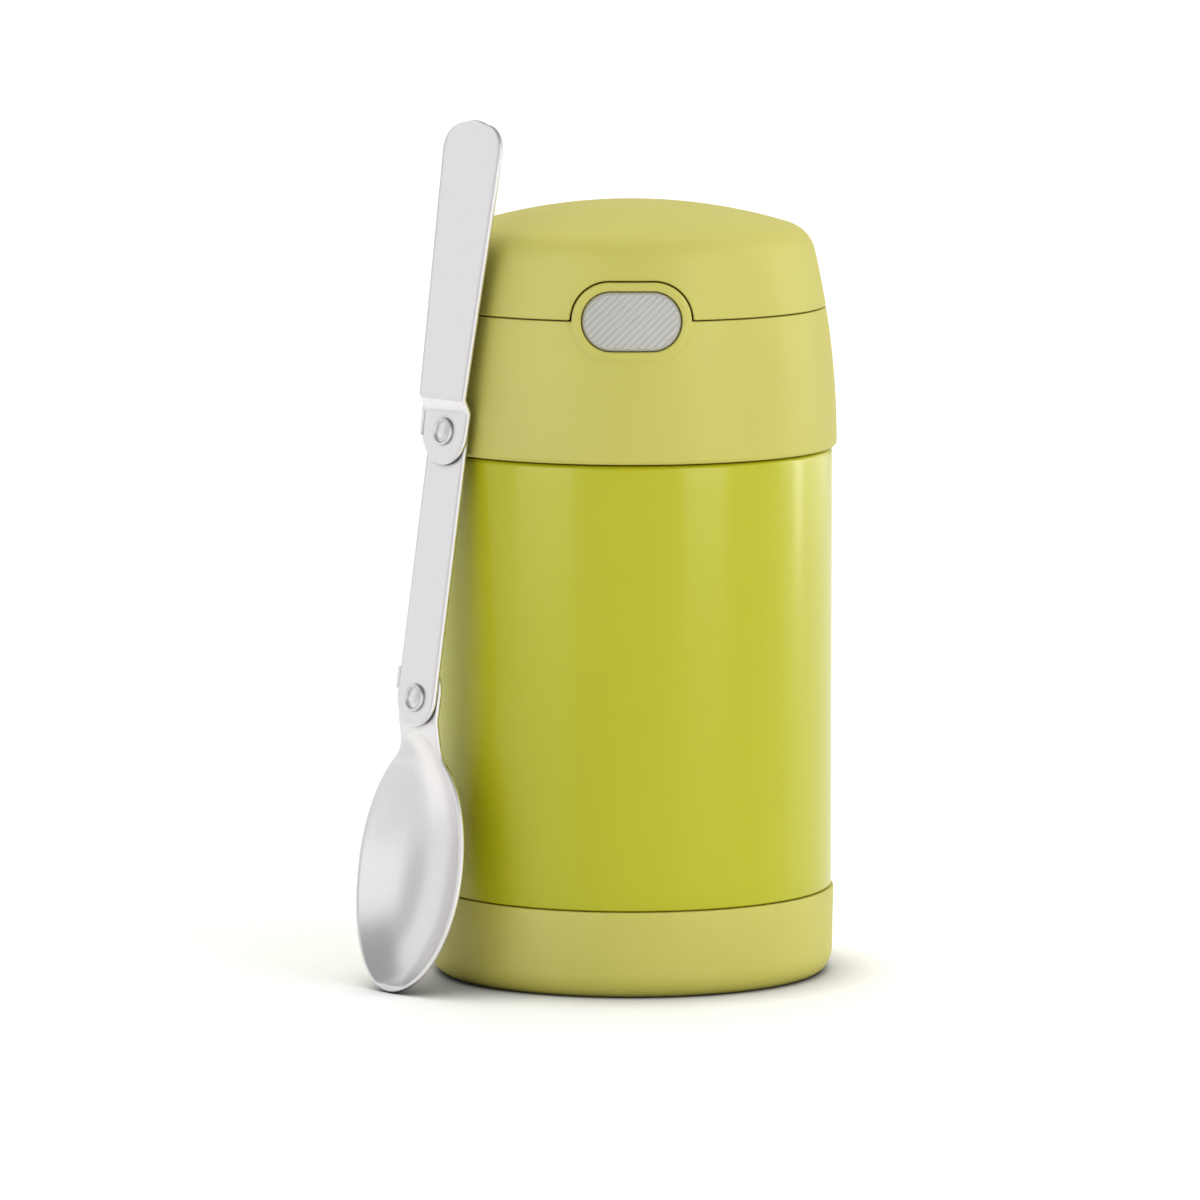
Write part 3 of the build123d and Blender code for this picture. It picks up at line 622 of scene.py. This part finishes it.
def make_body():
    """Painted shell, and a thin bare sleeve with the thread over its neck."""
    step_z = boot_top_z + seam
    foot = (body_radius - body_step_round, step_z + body_step_round)
    corner = (body_radius - shoulder_corner, shoulder_z - shoulder_corner)
    hollow = (neck_radius + neck_fillet, shoulder_z + neck_fillet)
    outer = [(body_low_radius, body_low_z), (body_low_radius, step_z)]
    outer += arc(foot, body_step_round, -90, 0, 4) + arc(corner, shoulder_corner, 0, 90, 8)
    outer += [(hollow[0], shoulder_z)] + arc(hollow, neck_fillet, -90, -180, 4)
    outer += [(neck_radius, neck_top_z)]
    neck_inner, low_inner = neck_radius - body_wall, body_low_radius - body_wall
    inner = [(neck_inner, neck_top_z), (neck_inner, shoulder_z - body_wall)]
    inner += arc(corner, shoulder_corner - body_wall, 90, 0, 4)
    inner += [(body_radius - body_wall, step_z + 2 * body_wall)]
    inner += [(low_inner, step_z + body_wall), (low_inner, body_low_z)]
    shell = lathe("steel_body", spaced(outer, 4) + spaced(inner, 8), 320, wrap=True)
    dress(shell, "jar", "outer_shell", gloss_lime)
    inside, outside = neck_radius - sleeve_skin[0], neck_radius + sleeve_skin[1]
    low = shoulder_z + sleeve_low
    sleeve = [(inside, low), (outside, low), (outside, neck_top_z), (inside, neck_top_z)]
    neck = lathe("neck_sleeve", sleeve, wrap=True)
    threaded = join("threaded_neck", [neck, thread_ridge(0.0), thread_ridge(pi)])
    put_on(threaded, bare_steel)
    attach(threaded, "jar")


def make_boot():
    foot = boot_foot_radius - boot_edge[0]
    inside, outside = boot_groove
    outline = [(0.0, 0.0), (inside - boot_groove_edge, 0.0)]
    outline += [(inside, boot_groove_edge), (inside, boot_groove_depth)]
    outline += [(outside, boot_groove_depth), (outside, boot_groove_edge)]
    outline += [(outside + boot_groove_edge, 0.0)]
    for i in range(17):
        a = radians(-90 + 90 * i / 16)
        outline.append((foot + boot_edge[0] * cos(a), boot_edge[1] * (1 + sin(a))))
    top = (boot_top_radius - boot_top_round, boot_top_z - boot_top_round)
    lip = (boot_inner_radius + boot_lip_round, boot_top_z - boot_lip_round)
    outline += arc(top, boot_top_round, 0, 90, 5) + arc(lip, boot_lip_round, 90, 180, 3)
    outline += [(boot_inner_radius, boot_floor_z), (0.0, boot_floor_z)]
    boot = lathe("base_boot_piece", spaced(outline, 3), 320)
    dress(boot, "jar", "base_boot", matte_lime)


# ---------- collar and bezel
def prism(name, straight, radius, near, far):
    """Stadium bar along Y at the height of the lid's seam."""
    outline = stadium(straight, radius, 32)
    loops = [[(0.0, -near, seam_z)]]
    loops += [[(x, -y, z) for x, z, _, _ in outline] for y in (near, far)]
    loops += [[(0.0, -far, seam_z)]]
    return loft(name, loops)


def bezel_section(share):
    """Bezel's section as (distance in from its outline, rise): soft below, upright above."""
    upright = [(0.0, -collar_wall), (0.0, bezel_proud - bezel_edge)]
    upright += arc((bezel_edge, bezel_proud - bezel_edge), bezel_edge, 160, 110, 2)
    upright += [(bezel_edge, bezel_proud)]
    soft = [(-0.2, -collar_wall)] + bezel_soft
    rim = bezel_round - hole_round
    lip = [(rim - back, bezel_proud - under) for back, under in bezel_lip] + [(rim, -collar_wall)]
    return [mixed(a, b, share) for a, b in zip(soft, upright)] + lip


def make_collar():
    top_z = seam_z - seam / 2
    low_z = collar_low_z + collar_low_round
    low = (barrel_at(low_z) - collar_low_round, low_z)
    top = (barrel_at(top_z) - collar_top_round, top_z - collar_top_round)
    outline = arc(low, collar_low_round, -90, 0, 6)
    outline += [(barrel_at(z), z) for z in [low_z + 1 + 2 * i for i in range(14)]]
    outline += arc(top, collar_top_round, 5, 90, 4)
    heights = [top_z - 4 * i for i in range(8)] + [collar_low_z]
    outline += [(barrel_at(z) - collar_wall, z) for z in heights]
    collar = lathe("collar_shell", outline, 384, wrap=True)
    middle = (bezel_round + hole_round) / 2 + hole_lap
    cut(collar, prism("hole", hole_straight, middle, near=30, far=60))
    cut(collar, cross_bar("hinge_gap", hinge_room, -lug_x[0], lug_x[0]))
    loops = []
    outer = stadium(bezel_straight, bezel_round, 64)
    inner = stadium(hole_straight, hole_round, 64)
    width = bezel_round - hole_round
    for (x, z, nx, nz), (hx, hz, _, _) in zip(outer, inner):
        share = smooth(z, top_z + bezel_turn[0], top_z + bezel_turn[1])
        loop = []
        for depth, rise in bezel_section(share):
            if depth < 0:
                px, pz = x - depth * nx, z - depth * nz
            else:
                px, pz = mixed((x, z), (hx, hz), depth / width)
            loop.append(on_barrel(px, pz, rise))
        loops.append(loop)
    bezel = loft("bezel_ring", loops, wrap=True, crease=50)
    piece = join("lid_collar_piece", [collar, bezel] + bar_pair("lug", lug_x))
    dress(piece, "lid", "lid_collar", matte_lime)


# ---------- push button
def edge_distance(x, z):
    """Distance in from the button's outline."""
    over = max(0.0, abs(x) - button_straight)
    return button_round - hypot(over, z - seam_z)


def rib_rise(x, z):
    """Height of the slanting ribs: wide rounded ridges with narrow valleys."""
    across = (z - seam_z) * cos(radians(rib_angle)) - x * sin(radians(rib_angle))
    phase = abs((across / rib_pitch) % 1.0 - 0.5) * 2
    ridge = 1 - phase**3
    return rib_height * ridge * smooth(edge_distance(x, z), *rib_fade)


def make_button():
    """Ribbed face with its side walls, and the flange that holds it behind the collar."""
    rows, columns = 120, 200
    row_reach = button_round - 0.002
    points = []
    for j in range(rows + 1):
        z = seam_z + row_reach * -cos(pi * j / rows)
        half = button_straight + sqrt(max(0.0, button_round**2 - (z - seam_z) ** 2))
        for i in range(columns + 1):
            x = half * -cos(pi * i / columns)
            inset = max(0.0, edge_distance(x, z))
            fall = button_edge - sqrt(button_edge**2 - max(0.0, button_edge - inset) ** 2)
            points.append(on_barrel(x, z, button_base + rib_rise(x, z) - fall))
    faces, rim = grid(columns, rows)
    back_start = len(points)
    for index in rim:
        x, _, z = points[index]
        points.append((x, -button_back, z))
    count = len(rim)
    for i in range(count):
        j = (i + 1) % count
        faces.append((rim[j], rim[i], back_start + i, back_start + j))
    faces.append(tuple(range(back_start, back_start + count)))
    face = add_object("button_face", points, faces, 60)
    loops = []
    front, back = flange_rises
    for x, z, nx, nz in stadium(button_straight, button_round + flange_out, 48):
        hx, hz = x - flange_width * nx, z - flange_width * nz
        corners = ((x, z, front), (hx, hz, front), (hx, hz, back), (x, z, back))
        loops.append([on_barrel(*corner) for corner in corners])
    piece = join("push_button_piece", [face, loft("button_flange", loops, wrap=True)])
    dress(piece, "button", "push_button", button_grey)


# ---------- flip lid
def notch_edge():
    """Lower edge of the flip lid across its front, as (x, z) from left to right."""
    low = seam_z + seam / 2
    radius = bezel_round + notch_gap
    centre = (-bezel_straight, seam_z)
    corner_z = low + notch_corner
    corner_x = -bezel_straight - sqrt(radius**2 - (corner_z - seam_z) ** 2) - notch_corner
    left = [(-notch_reach + (corner_x + notch_reach) * i / 12, low) for i in range(12)]
    left += arc((corner_x, corner_z), notch_corner, -90, 0, 6)
    start = 180 - (corner_z - seam_z) / radius * 180 / pi
    left += arc(centre, radius, start, 90, 36)[1:]
    across = [-bezel_straight + 2 * bezel_straight * i / 12 for i in range(1, 12)]
    return left + [(x, seam_z + radius) for x in across] + [(-x, z) for x, z in reversed(left)]


def cover_columns():
    """Lower edge all round as (x, z, way into the lid, angle above), x None off the front."""
    front = notch_edge()
    run = [0.0]
    for a, b in zip(front, front[1:]):
        run.append(run[-1] + hypot(b[0] - a[0], b[1] - a[1]))
    low = seam_z + seam / 2
    side = asin(front[0][0] / barrel_at(low))
    columns = []
    for i, (x, z) in enumerate(front):
        (x0, z0), (x1, z1) = front[max(0, i - 1)], front[min(len(front) - 1, i + 1)]
        length = hypot(x1 - x0, z1 - z0)
        normal = ((z0 - z1) / length, (x1 - x0) / length)
        columns.append((x, z, normal, side - 2 * side * run[i] / run[-1]))
    count = 200
    for i in range(1, count):
        a = -side + (2 * pi + 2 * side) * i / count
        columns.append((None, low, (0.0, 1.0), a))
    return columns


def cover_point(column, z_top, share, inset, rise):
    """Point of the flip lid's side: share goes from its lower edge to its shoulder."""
    x, z, normal, above = column
    if x is None:
        low_z, angle = z + inset * (1 - share), above
    else:
        px, low_z = x + normal[0] * inset, z + normal[1] * inset
        if share == 0:
            return on_barrel(px, low_z, rise)
        low_angle = asin(px / barrel_at(low_z))
        angle = low_angle + (above - low_angle) * share
    height = low_z + (z_top - low_z) * share
    reach = barrel_at(height, rise)
    return (reach * sin(angle), -reach * cos(angle), height)


def top_loop(columns, r, z):
    """Loop of the flip lid's top above its columns, or one point on the axis."""
    if r < 1e-6:
        return [(0.0, 0.0, z)]
    return [(r * sin(above), -r * cos(above), z) for _, _, _, above in columns]


def make_cover():
    columns = cover_columns()
    centre, fillet, side_angle, _ = shoulder_circle(0.0)
    z_top = centre[1] + fillet * sin(side_angle)
    inner_upper = lid_upper(cover_wall, 16, 6)
    z_inner = inner_upper[-1][1]
    loops = [top_loop(columns, r, z) for r, z in lid_upper(0.0, 30, 12)[:-1]]
    shares = [1 - i / 14 for i in range(14)]
    loops += [[cover_point(c, z_top, s, cover_edge, 0.0) for c in columns] for s in shares]
    for a in (0, 22.5, 45, 67.5, 90):
        inset = cover_edge * (1 - sin(radians(a)))
        rise = -cover_edge * (1 - cos(radians(a)))
        loops.append([cover_point(c, z_top, 0.0, inset, rise) for c in columns])
    for i in range(8):
        loops.append([cover_point(c, z_inner, i / 8, 0.0, -cover_wall) for c in columns])
    loops += [top_loop(columns, r, z) for r, z in reversed(inner_upper)]
    cover = loft("cover_shell", loops, crease=50)
    near, far = knuckle_x
    end = lug_x[1] + lug_gap
    for low_x, high_x in ((-end, -far), (-near, near), (far, end)):
        cut(cover, cross_bar("hinge_gap", hinge_room, low_x, high_x))
    piece = join("flip_cover_piece", [cover] + bar_pair("knuckle", knuckle_x))
    dress(piece, "flip", "flip_cover", matte_lime)


# ---------- folding spoon
lower_rivet = joint_place("fold_lower")
upper_rivet = joint_place("fold_upper")
spoon_z = -Vector(joints["fold_lower"]["axis"]).normalized()
spoon_y = (upper_rivet - lower_rivet).normalized()
spoon_x = spoon_y.cross(spoon_z)


def spoon_place(origin, point):
    """Point of the spoon's own frame, out of its face, in the jar's frame."""
    return tuple(origin + spoon_x * point[0] + spoon_y * point[1] + spoon_z * point[2])


def even_steps(low, high, count):
    """Places after low, evenly spaced up to high."""
    return [low + (high - low) * i / count for i in range(1, count + 1)]


def slowing_steps(low, high, count):
    """Places after low, closer and closer together up to high."""
    return [low + (high - low) * sin(pi / 2 * i / count) for i in range(1, count + 1)]


def plate(name, origin, surface, across, along):
    """Bent sheet from surface(a, s), with a from -1 to 1, and a rounded edge all round."""
    step = 1e-3
    tops, bottoms = [], []
    for s in along:
        for i in range(across + 1):
            a = -1 + 2 * i / across
            here = Vector(surface(a, s))
            da = Vector(surface(min(1, a + step), s)) - Vector(surface(max(-1, a - step), s))
            ds = Vector(surface(a, s + step)) - Vector(surface(a, s - step))
            tops.append(here)
            bottoms.append(here - da.cross(ds).normalized() * sheet)
    points = tops + bottoms
    faces, rim = grid(across, len(along) - 1)
    faces += [tuple(k + len(tops) for k in reversed(face)) for face in faces]
    count = len(rim)
    bands = [rim]
    for angle in (30, 60, 90, 120, 150):
        band = []
        for i, k in enumerate(rim):
            before, after = tops[rim[i - 1]], tops[rim[(i + 1) % count]]
            normal = (tops[k] - bottoms[k]).normalized()
            out = (after - before).cross(normal).normalized()
            middle = (tops[k] + bottoms[k]) / 2
            lift = normal * (sheet / 2 * cos(radians(angle)))
            band.append(len(points))
            points.append(middle + lift + out * (sheet_edge * sin(radians(angle))))
        bands.append(band)
    bands.append([k + len(tops) for k in rim])
    for upper, lower in zip(bands, bands[1:]):
        for i in range(count):
            j = (i + 1) % count
            faces.append((upper[j], upper[i], lower[i], lower[j]))
    return add_object(name, [spoon_place(origin, p) for p in points], faces, 45)


def link_surface(a, s):
    """Flat strip whose round ends are centred on the rivets."""
    past = max(-s, s - link_length, 0.0)
    half = sqrt(max(0.0, (link_half - sheet_edge) ** 2 - past**2))
    return (a * max(least_half, half), s, 0.0)


def handle_half(s):
    """Half width of the handle, s up from the upper rivet."""
    root = handle_root_half - sheet_edge
    if s < 0:
        return sqrt(max(0.0, root**2 - s * s))
    top = handle_length - sheet_edge
    corner_s = top - handle_crown - handle_corner
    corner_x = root + handle_flare * corner_s - handle_corner
    if s <= corner_s:
        return root + handle_flare * s
    if s <= top - handle_crown:
        return corner_x + sqrt(max(0.0, handle_corner**2 - (s - corner_s) ** 2))
    bow = (corner_x**2 + handle_crown**2) / (2 * handle_crown)
    return sqrt(max(0.0, bow**2 - (s - top + bow) ** 2))


def soft_corner(value, bend):
    """0 below zero and the value above it, with a rounded corner between."""
    if abs(value) >= bend:
        return max(0.0, value)
    return (value + bend) ** 2 / (4 * bend)


def handle_surface(a, s):
    """Handle's face, which steps up at the joggle."""
    run = soft_corner(s - joggle_low, joggle_bend) - soft_corner(s - joggle_high, joggle_bend)
    height = tab_face + joggle_rise * run / (joggle_high - joggle_low)
    return (a * max(least_half, handle_half(s)), s, height)


def bowl_half(s):
    """Half width of the bowl, an ellipse, and its neck, with a smooth curve between."""
    half_length = bowl_half_length - sheet_edge
    half_width = bowl_half_width - sheet_edge
    share = (s - bowl_centre) / half_length
    low, high = bowl_blend
    if s <= low:
        return half_width * sqrt(max(0.0, 1 - share * share))
    if s >= high:
        return neck_half * (1 - min(1.0, max(0.0, s) / neck_end) ** 3) ** (1 / 3) - sheet_edge
    start = (low - bowl_centre) / half_length
    width = half_width * sqrt(1 - start * start)
    slope = -half_width / half_length * start / sqrt(1 - start * start)
    t = (s - low) / (high - low)
    return (
        (2 * t**3 - 3 * t**2 + 1) * width
        + (t**3 - 2 * t**2 + t) * (high - low) * slope
        + (3 * t**2 - 2 * t**3) * (neck_half - sheet_edge)
    )


def dish_depth(x, s):
    """Depth of the hollow under the sheet's edge."""
    if s >= dish_top or s <= dish_tip:
        return 0.0
    half = bowl_half(s) - dish_land
    cap = dish_top - s
    if cap < dish_cap:
        half *= sqrt(1 - (1 - cap / dish_cap) ** 2)
    if abs(x) >= half:
        return 0.0
    end, powers = (dish_top, dish_top_powers) if s > dish_deepest else (dish_tip, dish_tip_powers)
    run = (s - dish_deepest) / (end - dish_deepest)
    centre = bowl_depth * (1 - run ** powers[0]) ** powers[1]
    return centre * (1 - (abs(x) / half) ** dish_cross_power)


def bowl_surface(a, s):
    """Bowl's face: its rim bends back at the neck and rises towards the tip."""
    x = a * max(least_half, bowl_half(s))
    run = max(0.0, -s - neck_bend) / neck_sink
    base = neck_face + (rim_face - neck_face) * (1 - exp(-(run**neck_power)))
    lift = tip_rise * (max(0.0, bowl_centre - s) / bowl_half_length) ** 2
    return (x, s, base + lift - dish_depth(x, s))


def bent_stop(name, origin, stop, base, height, flare=0.0):
    """Small flange turned up beside a sheet's left edge, which stops the next piece.

    Its inner side leans over the sheet's rounded edge, and flare follows a sheet that widens.
    """
    inner, low, high = stop
    outer = inner - stop_thickness
    root = inner + stop_root
    bend = outer + stop_bend
    profile = [(root, base), (root, base - sheet), (bend, base - sheet)]
    profile += arc((bend, base - sheet + stop_bend), stop_bend, -90, -180, 5)[1:]
    profile += arc((outer + stop_round, height - stop_round), stop_round, 180, 90, 4)
    profile += [(inner + over, height - down) for over, down in stop_lean]
    profile += [(inner, base + stop_fillet), (inner + stop_fillet, base)]
    spots = [(low + inset, shrink) for inset, shrink in stop_ends]
    spots += [(high - inset, shrink) for inset, shrink in reversed(stop_ends)]
    loops = []
    for s, shrink in spots:
        loop = []
        for x, h in profile:
            if x < inner + stop_fillet:
                x += shrink if x < (inner + outer) / 2 else -shrink
                h = min(h, height - shrink)
            loop.append(spoon_place(origin, (x - flare * abs(s), s, h)))
        loops.append(loop)
    return loft(name, [middle_of(loops[0])] + loops + [middle_of(loops[-1])])


def rivet_side(origin, level, facing):
    """Round rivet head: a raised ring round a low dome on the front, plain on the back."""
    if facing > 0:
        profile = [(r, dome_high - dome_fall * (r / dome_radii[-1]) ** 2) for r in dome_radii]
        profile += ring_inside
    else:
        profile = [(0.0, rivet_back[1]), rivet_back]
    loops = []
    for r, h in profile + ring_outside:
        turns = [facing * 2 * pi * i / 64 for i in range(64)] if r else [0.0]
        loop = [(r * cos(t), r * sin(t), level + facing * h) for t in turns]
        loops.append([spoon_place(origin, p) for p in loop])
    loops.append([spoon_place(origin, (0.0, 0.0, level))])
    return loft("rivet_head", loops, crease=60)


def make_rivet(node, origin, body, front, back):
    """Both heads of a rivet, on the front and back faces that it holds together."""
    heads = [rivet_side(origin, front + sheet_gap, 1), rivet_side(origin, back - sheet_gap, -1)]
    dress(join(node + "_piece", heads), body, node, spoon_steel)


def make_spoon():
    low, high = sheet_edge - link_half, link_length + link_half - sheet_edge
    along = [low + (high - low) * (1 - cos(pi * i / 60)) / 2 for i in range(61)]
    link = plate("link_sheet", lower_rivet, link_surface, 12, along)
    stop = bent_stop("link_stop", upper_rivet, link_stop, 0.0, tab_face, handle_flare)
    piece = join("spoon_link_piece", [link, stop])
    dress(piece, "link", "spoon_link", spoon_steel)

    bend_low, bend_high = joggle_low - joggle_margin, joggle_high + joggle_margin
    top = handle_length - sheet_edge
    corner = top - handle_crown - handle_corner
    along = [-(handle_root_half - sheet_edge) * cos(pi / 2 * i / 16) for i in range(17)]
    along += even_steps(0.0, bend_low, 4) + even_steps(bend_low, bend_high, 37)
    along += even_steps(bend_high, corner, 16)
    along += slowing_steps(corner, top - handle_crown, 14)
    along += slowing_steps(top - handle_crown, top, 8)
    handle = plate("spoon_handle_piece", upper_rivet, handle_surface, 14, along)
    dress(handle, "handle", "spoon_handle", spoon_steel)

    tip = bowl_centre - bowl_half_length + sheet_edge
    neck_low, neck_high = -15.0, -5.0
    along = [tip + (bowl_centre - tip) * (1 - cos(pi / 2 * i / 48)) for i in range(49)]
    along += even_steps(bowl_centre, neck_low, 36) + even_steps(neck_low, neck_high, 44)
    along += even_steps(neck_high, 0.0, 6) + slowing_steps(0.0, neck_end - sheet_edge, 14)
    bowl = plate("bowl_sheet", lower_rivet, bowl_surface, 72, along)
    stop = bent_stop("neck_stop", lower_rivet, neck_stop, neck_face, 0.0)
    piece = join("spoon_bowl_piece", [bowl, stop])
    dress(piece, "bowl", "spoon_bowl", spoon_steel)

    make_rivet("lower_rivet", lower_rivet, "bowl", 0.0, neck_face - sheet)
    make_rivet("upper_rivet", upper_rivet, "link", tab_face, -sheet)


# ---------- spring behind the button
def make_button_spring():
    """Coil spring behind the button, over the length of the CAD spring's box."""
    low, high = (Vector(corner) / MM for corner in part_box("button_spring"))
    middle = (low + high) / 2
    first = Vector((middle.x, low.y + spring_wire, middle.z))
    radius = (high.x - low.x) / 2 - spring_wire
    run = high.y - low.y - 2 * spring_wire
    pitch = run / (2 * pi * radius * spring_coils)
    steps = 32 * spring_coils
    round_wire = [2 * pi * k / 10 for k in range(10)]
    loops = [[tuple(first + Vector((radius, 0, 0)))]]
    for i in range(steps + 1):
        turn = 2 * pi * i / 32
        spoke = Vector((cos(turn), 0, sin(turn)))
        side = Vector((-sin(turn), pitch, cos(turn))).normalized().cross(spoke)
        centre = first + Vector((0, run * i / steps, 0)) + spoke * radius
        loops.append([])
        for a in round_wire:
            loops[-1].append(tuple(centre + (spoke * cos(a) + side * sin(a)) * spring_wire))
    loops.append([tuple(centre)])
    spring = loft("button_spring_piece", loops, crease=60)
    dress(spring, "lid", "button_spring", wire_steel)
    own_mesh(spring)


# ---------- CAD pieces that stay
def finish_inner_nodes():
    finishes = (
        (bare_steel, ("inner_liner", "shell_bottom")),
        (sealant, ("vacuum_seal",)),
        (wire_steel, ("vacuum_getter", "hinge_pin", "hinge_spring")),
        (silicone, ("lid_seal",)),
        (foam, ("stopper_foam",)),
        (pale_plastic, ("stopper", "spoon_tray", "latch_slider", "latch_housing", "flip_liner")),
    )
    for material, names in finishes:
        for name in names:
            put_on(frame["nodes"][name], material)


# ---------- floor, light and camera
floor_size = 24000.0
screen_distance = 1400.0
camera_place = (-6.846, -2000.0, 319.79)
camera_pitch = 6.769


def white_for_camera(nodes, links, plain, bright):
    """Shader that camera, glossy and transmission rays see as bright, all others as plain."""
    path = nodes.new("ShaderNodeLightPath")
    seen = path.outputs["Is Camera Ray"]
    for kind in ("Is Glossy Ray", "Is Transmission Ray"):
        either = nodes.new("ShaderNodeMath")
        either.operation = "MAXIMUM"
        links.new(seen, either.inputs[0])
        links.new(path.outputs[kind], either.inputs[1])
        seen = either.outputs[0]
    mix = nodes.new("ShaderNodeMixShader")
    links.new(seen, mix.inputs["Fac"])
    links.new(plain.outputs[0], mix.inputs[1])
    links.new(bright.outputs[0], mix.inputs[2])
    return mix


def make_world():
    world = bpy.data.worlds.new("studio")
    bpy.context.scene.world = world
    world.use_nodes = True
    nodes, links = world.node_tree.nodes, world.node_tree.links
    plain = nodes["Background"]
    bright = nodes.new("ShaderNodeBackground")
    for background, strength in ((plain, 0.45), (bright, 1.0)):
        background.inputs["Color"].default_value = white
        background.inputs["Strength"].default_value = strength
    mix = white_for_camera(nodes, links, plain, bright)
    links.new(mix.outputs[0], nodes["World Output"].inputs["Surface"])


def flat_square(name, width, depth):
    """Rectangle in the XY plane round the origin."""
    corners = [(s * width / 2, u * depth / 2, 0) for s, u in ((-1, -1), (1, -1), (1, 1), (-1, 1))]
    return add_object(name, corners, [(0, 1, 2, 3)])


def make_floor():
    floor = flat_square("floor", floor_size, floor_size)
    material, nodes, links = new_material("pale_floor")
    shader = nodes["Principled BSDF"]
    shader.inputs["Roughness"].default_value = 0.9
    shader.inputs["Specular IOR Level"].default_value = 0.0
    # painted contact shadow: the floor's colour and its glow go dark where the jar and spoon stand
    # near it
    painted_shadow_tone = (0.03, 0.03, 0.028, 1)
    ramp = add_painted_contact_shade(nodes, links, 25.0, painted_shadow_tone, shade(white, 0.96), span=(0.1, 0.85))
    links.new(ramp, shader.inputs["Base Color"])
    glow = nodes.new("ShaderNodeEmission")
    glow.inputs["Strength"].default_value = 0.2
    links.new(ramp, glow.inputs["Color"])
    lifted = nodes.new("ShaderNodeAddShader")
    links.new(shader.outputs[0], lifted.inputs[0])
    links.new(glow.outputs[0], lifted.inputs[1])
    mix = white_for_camera(nodes, links, shader, lifted)
    links.new(mix.outputs[0], nodes["Material Output"].inputs["Surface"])
    put_on(floor, material)


def toward(azimuth, height=0.0):
    """Way out at an azimuth, measured from -Y towards +X, and a height, in degrees."""
    a, h = radians(azimuth), radians(height)
    return Vector((sin(a) * cos(h), -cos(a) * cos(h), sin(h)))


def add_lamp(light, away):
    """Lamp that shines back along the way out."""
    lamp = bpy.data.objects.new(light.name, light)
    bpy.context.scene.collection.objects.link(lamp)
    lamp.rotation_euler = away.to_track_quat("Z", "Y").to_euler()
    return lamp


def add_sun(name, azimuth, height, strength, spread):
    """Soft sun that reflections don't show."""
    light = bpy.data.lights.new(name, "SUN")
    light.energy = strength
    light.angle = radians(spread)
    add_lamp(light, toward(azimuth, height)).visible_glossy = False


def add_strip(name, azimuth, width, height, power, distance=0.9):
    """Upright softbox that only shines in reflections, its sizes in metres."""
    light = bpy.data.lights.new(name, "AREA")
    light.shape = "RECTANGLE"
    light.size = width
    light.size_y = height
    light.energy = power
    lamp = add_lamp(light, toward(azimuth))
    lamp.location = toward(azimuth) * distance + Vector((0, 0, height / 2))
    lamp.visible_diffuse = False
    lamp.visible_camera = False
    return lamp


def add_card(name, place, size, facing, level):
    """Grey card that only shows in reflections."""
    card = flat_square(name, *size)
    card.rotation_euler = Vector(facing).to_track_quat("Z", "Y").to_euler()
    card.location = Vector(place) * MM
    material, nodes, links = new_material(name)
    glow = nodes.new("ShaderNodeEmission")
    glow.inputs["Color"].default_value = (level, level, level, 1)
    links.new(glow.outputs[0], nodes["Material Output"].inputs["Surface"])
    put_on(card, material)
    card.visible_camera = False
    card.visible_diffuse = False
    card.visible_shadow = False


def add_screen(name, azimuth, span, low, high, level):
    """Upright card that spans some degrees round the object at an azimuth."""
    place = toward(azimuth) * screen_distance + Vector((0, 0, (low + high) / 2))
    width = 2 * screen_distance * tan(radians(span / 2))
    add_card(name, place, (width, high - low), -toward(azimuth), level)


def light_only(names, lamps):
    """Lets lamps shine on the named pieces alone."""
    lit = bpy.data.collections.new("lit_by_" + lamps[0].name)
    for name in names:
        lit.objects.link(bpy.data.objects[name])
    for lamp in lamps:
        lamp.light_linking.receiver_collection = lit


def make_lights():
    add_sun("key", 60, 28, 1.12, 50)
    add_sun("fill", -55, 20, 0.43, 60)
    add_sun("top", 175, 68, 1.2, 60)
    matte_pieces = ["base_boot_piece", "lid_collar_piece", "flip_cover_piece"]
    light_only(
        ["steel_body"] + matte_pieces,
        [
            add_strip("left_softbox", -50, 0.55, 1.0, 5.0),
            add_strip("right_softbox", 42, 0.4, 1.0, 4.0),
            add_strip("rim_softbox", 109, 0.14, 1.0, 2.6),
        ],
    )
    light_only(["steel_body"], [add_strip("edge_softbox", 121, 1.0, 1.0, 4.0, 0.95)])
    add_card("top_card", (0, -400, 1450), (3000, 3000), (0, 0, -1), 0.38)
    add_card("rear_card", (300, 1500, 500), (2000, 1600), (0, -1, 0), 0.6)
    add_card("near_floor_card", (-720, -300, 1), (1320, 520), (0, 0, 1), 0.8)
    add_card("far_floor_card", (-820, 60, 1), (1170, 200), (0, 0, 1), 0.78)
    add_screen("dip_screen", -64, 34, 0, 1200, 0.6)
    add_screen("side_screen", -101, 42, 0, 1200, 0.92)
    add_screen("rear_left_screen", -137, 28, 0, 650, 0.22)


def make_camera():
    """Camera fitted to the jar's ellipses and edges in the photo."""
    data = bpy.data.cameras.new("camera")
    data.sensor_width = 36.0
    data.lens = 272.57
    data.clip_start = 0.1
    data.clip_end = 50.0
    camera = bpy.data.objects.new("camera", data)
    bpy.context.scene.collection.objects.link(camera)
    camera.location = Vector(camera_place) * MM
    camera.rotation_euler = (radians(90 - camera_pitch), 0, 0)
    bpy.context.scene.camera = camera


make_body()
make_boot()
make_collar()
make_button()
make_cover()
make_spoon()
make_button_spring()
finish_inner_nodes()
make_world()
make_floor()
make_lights()
make_camera()
bpy.context.scene.view_settings.view_transform = "Standard"
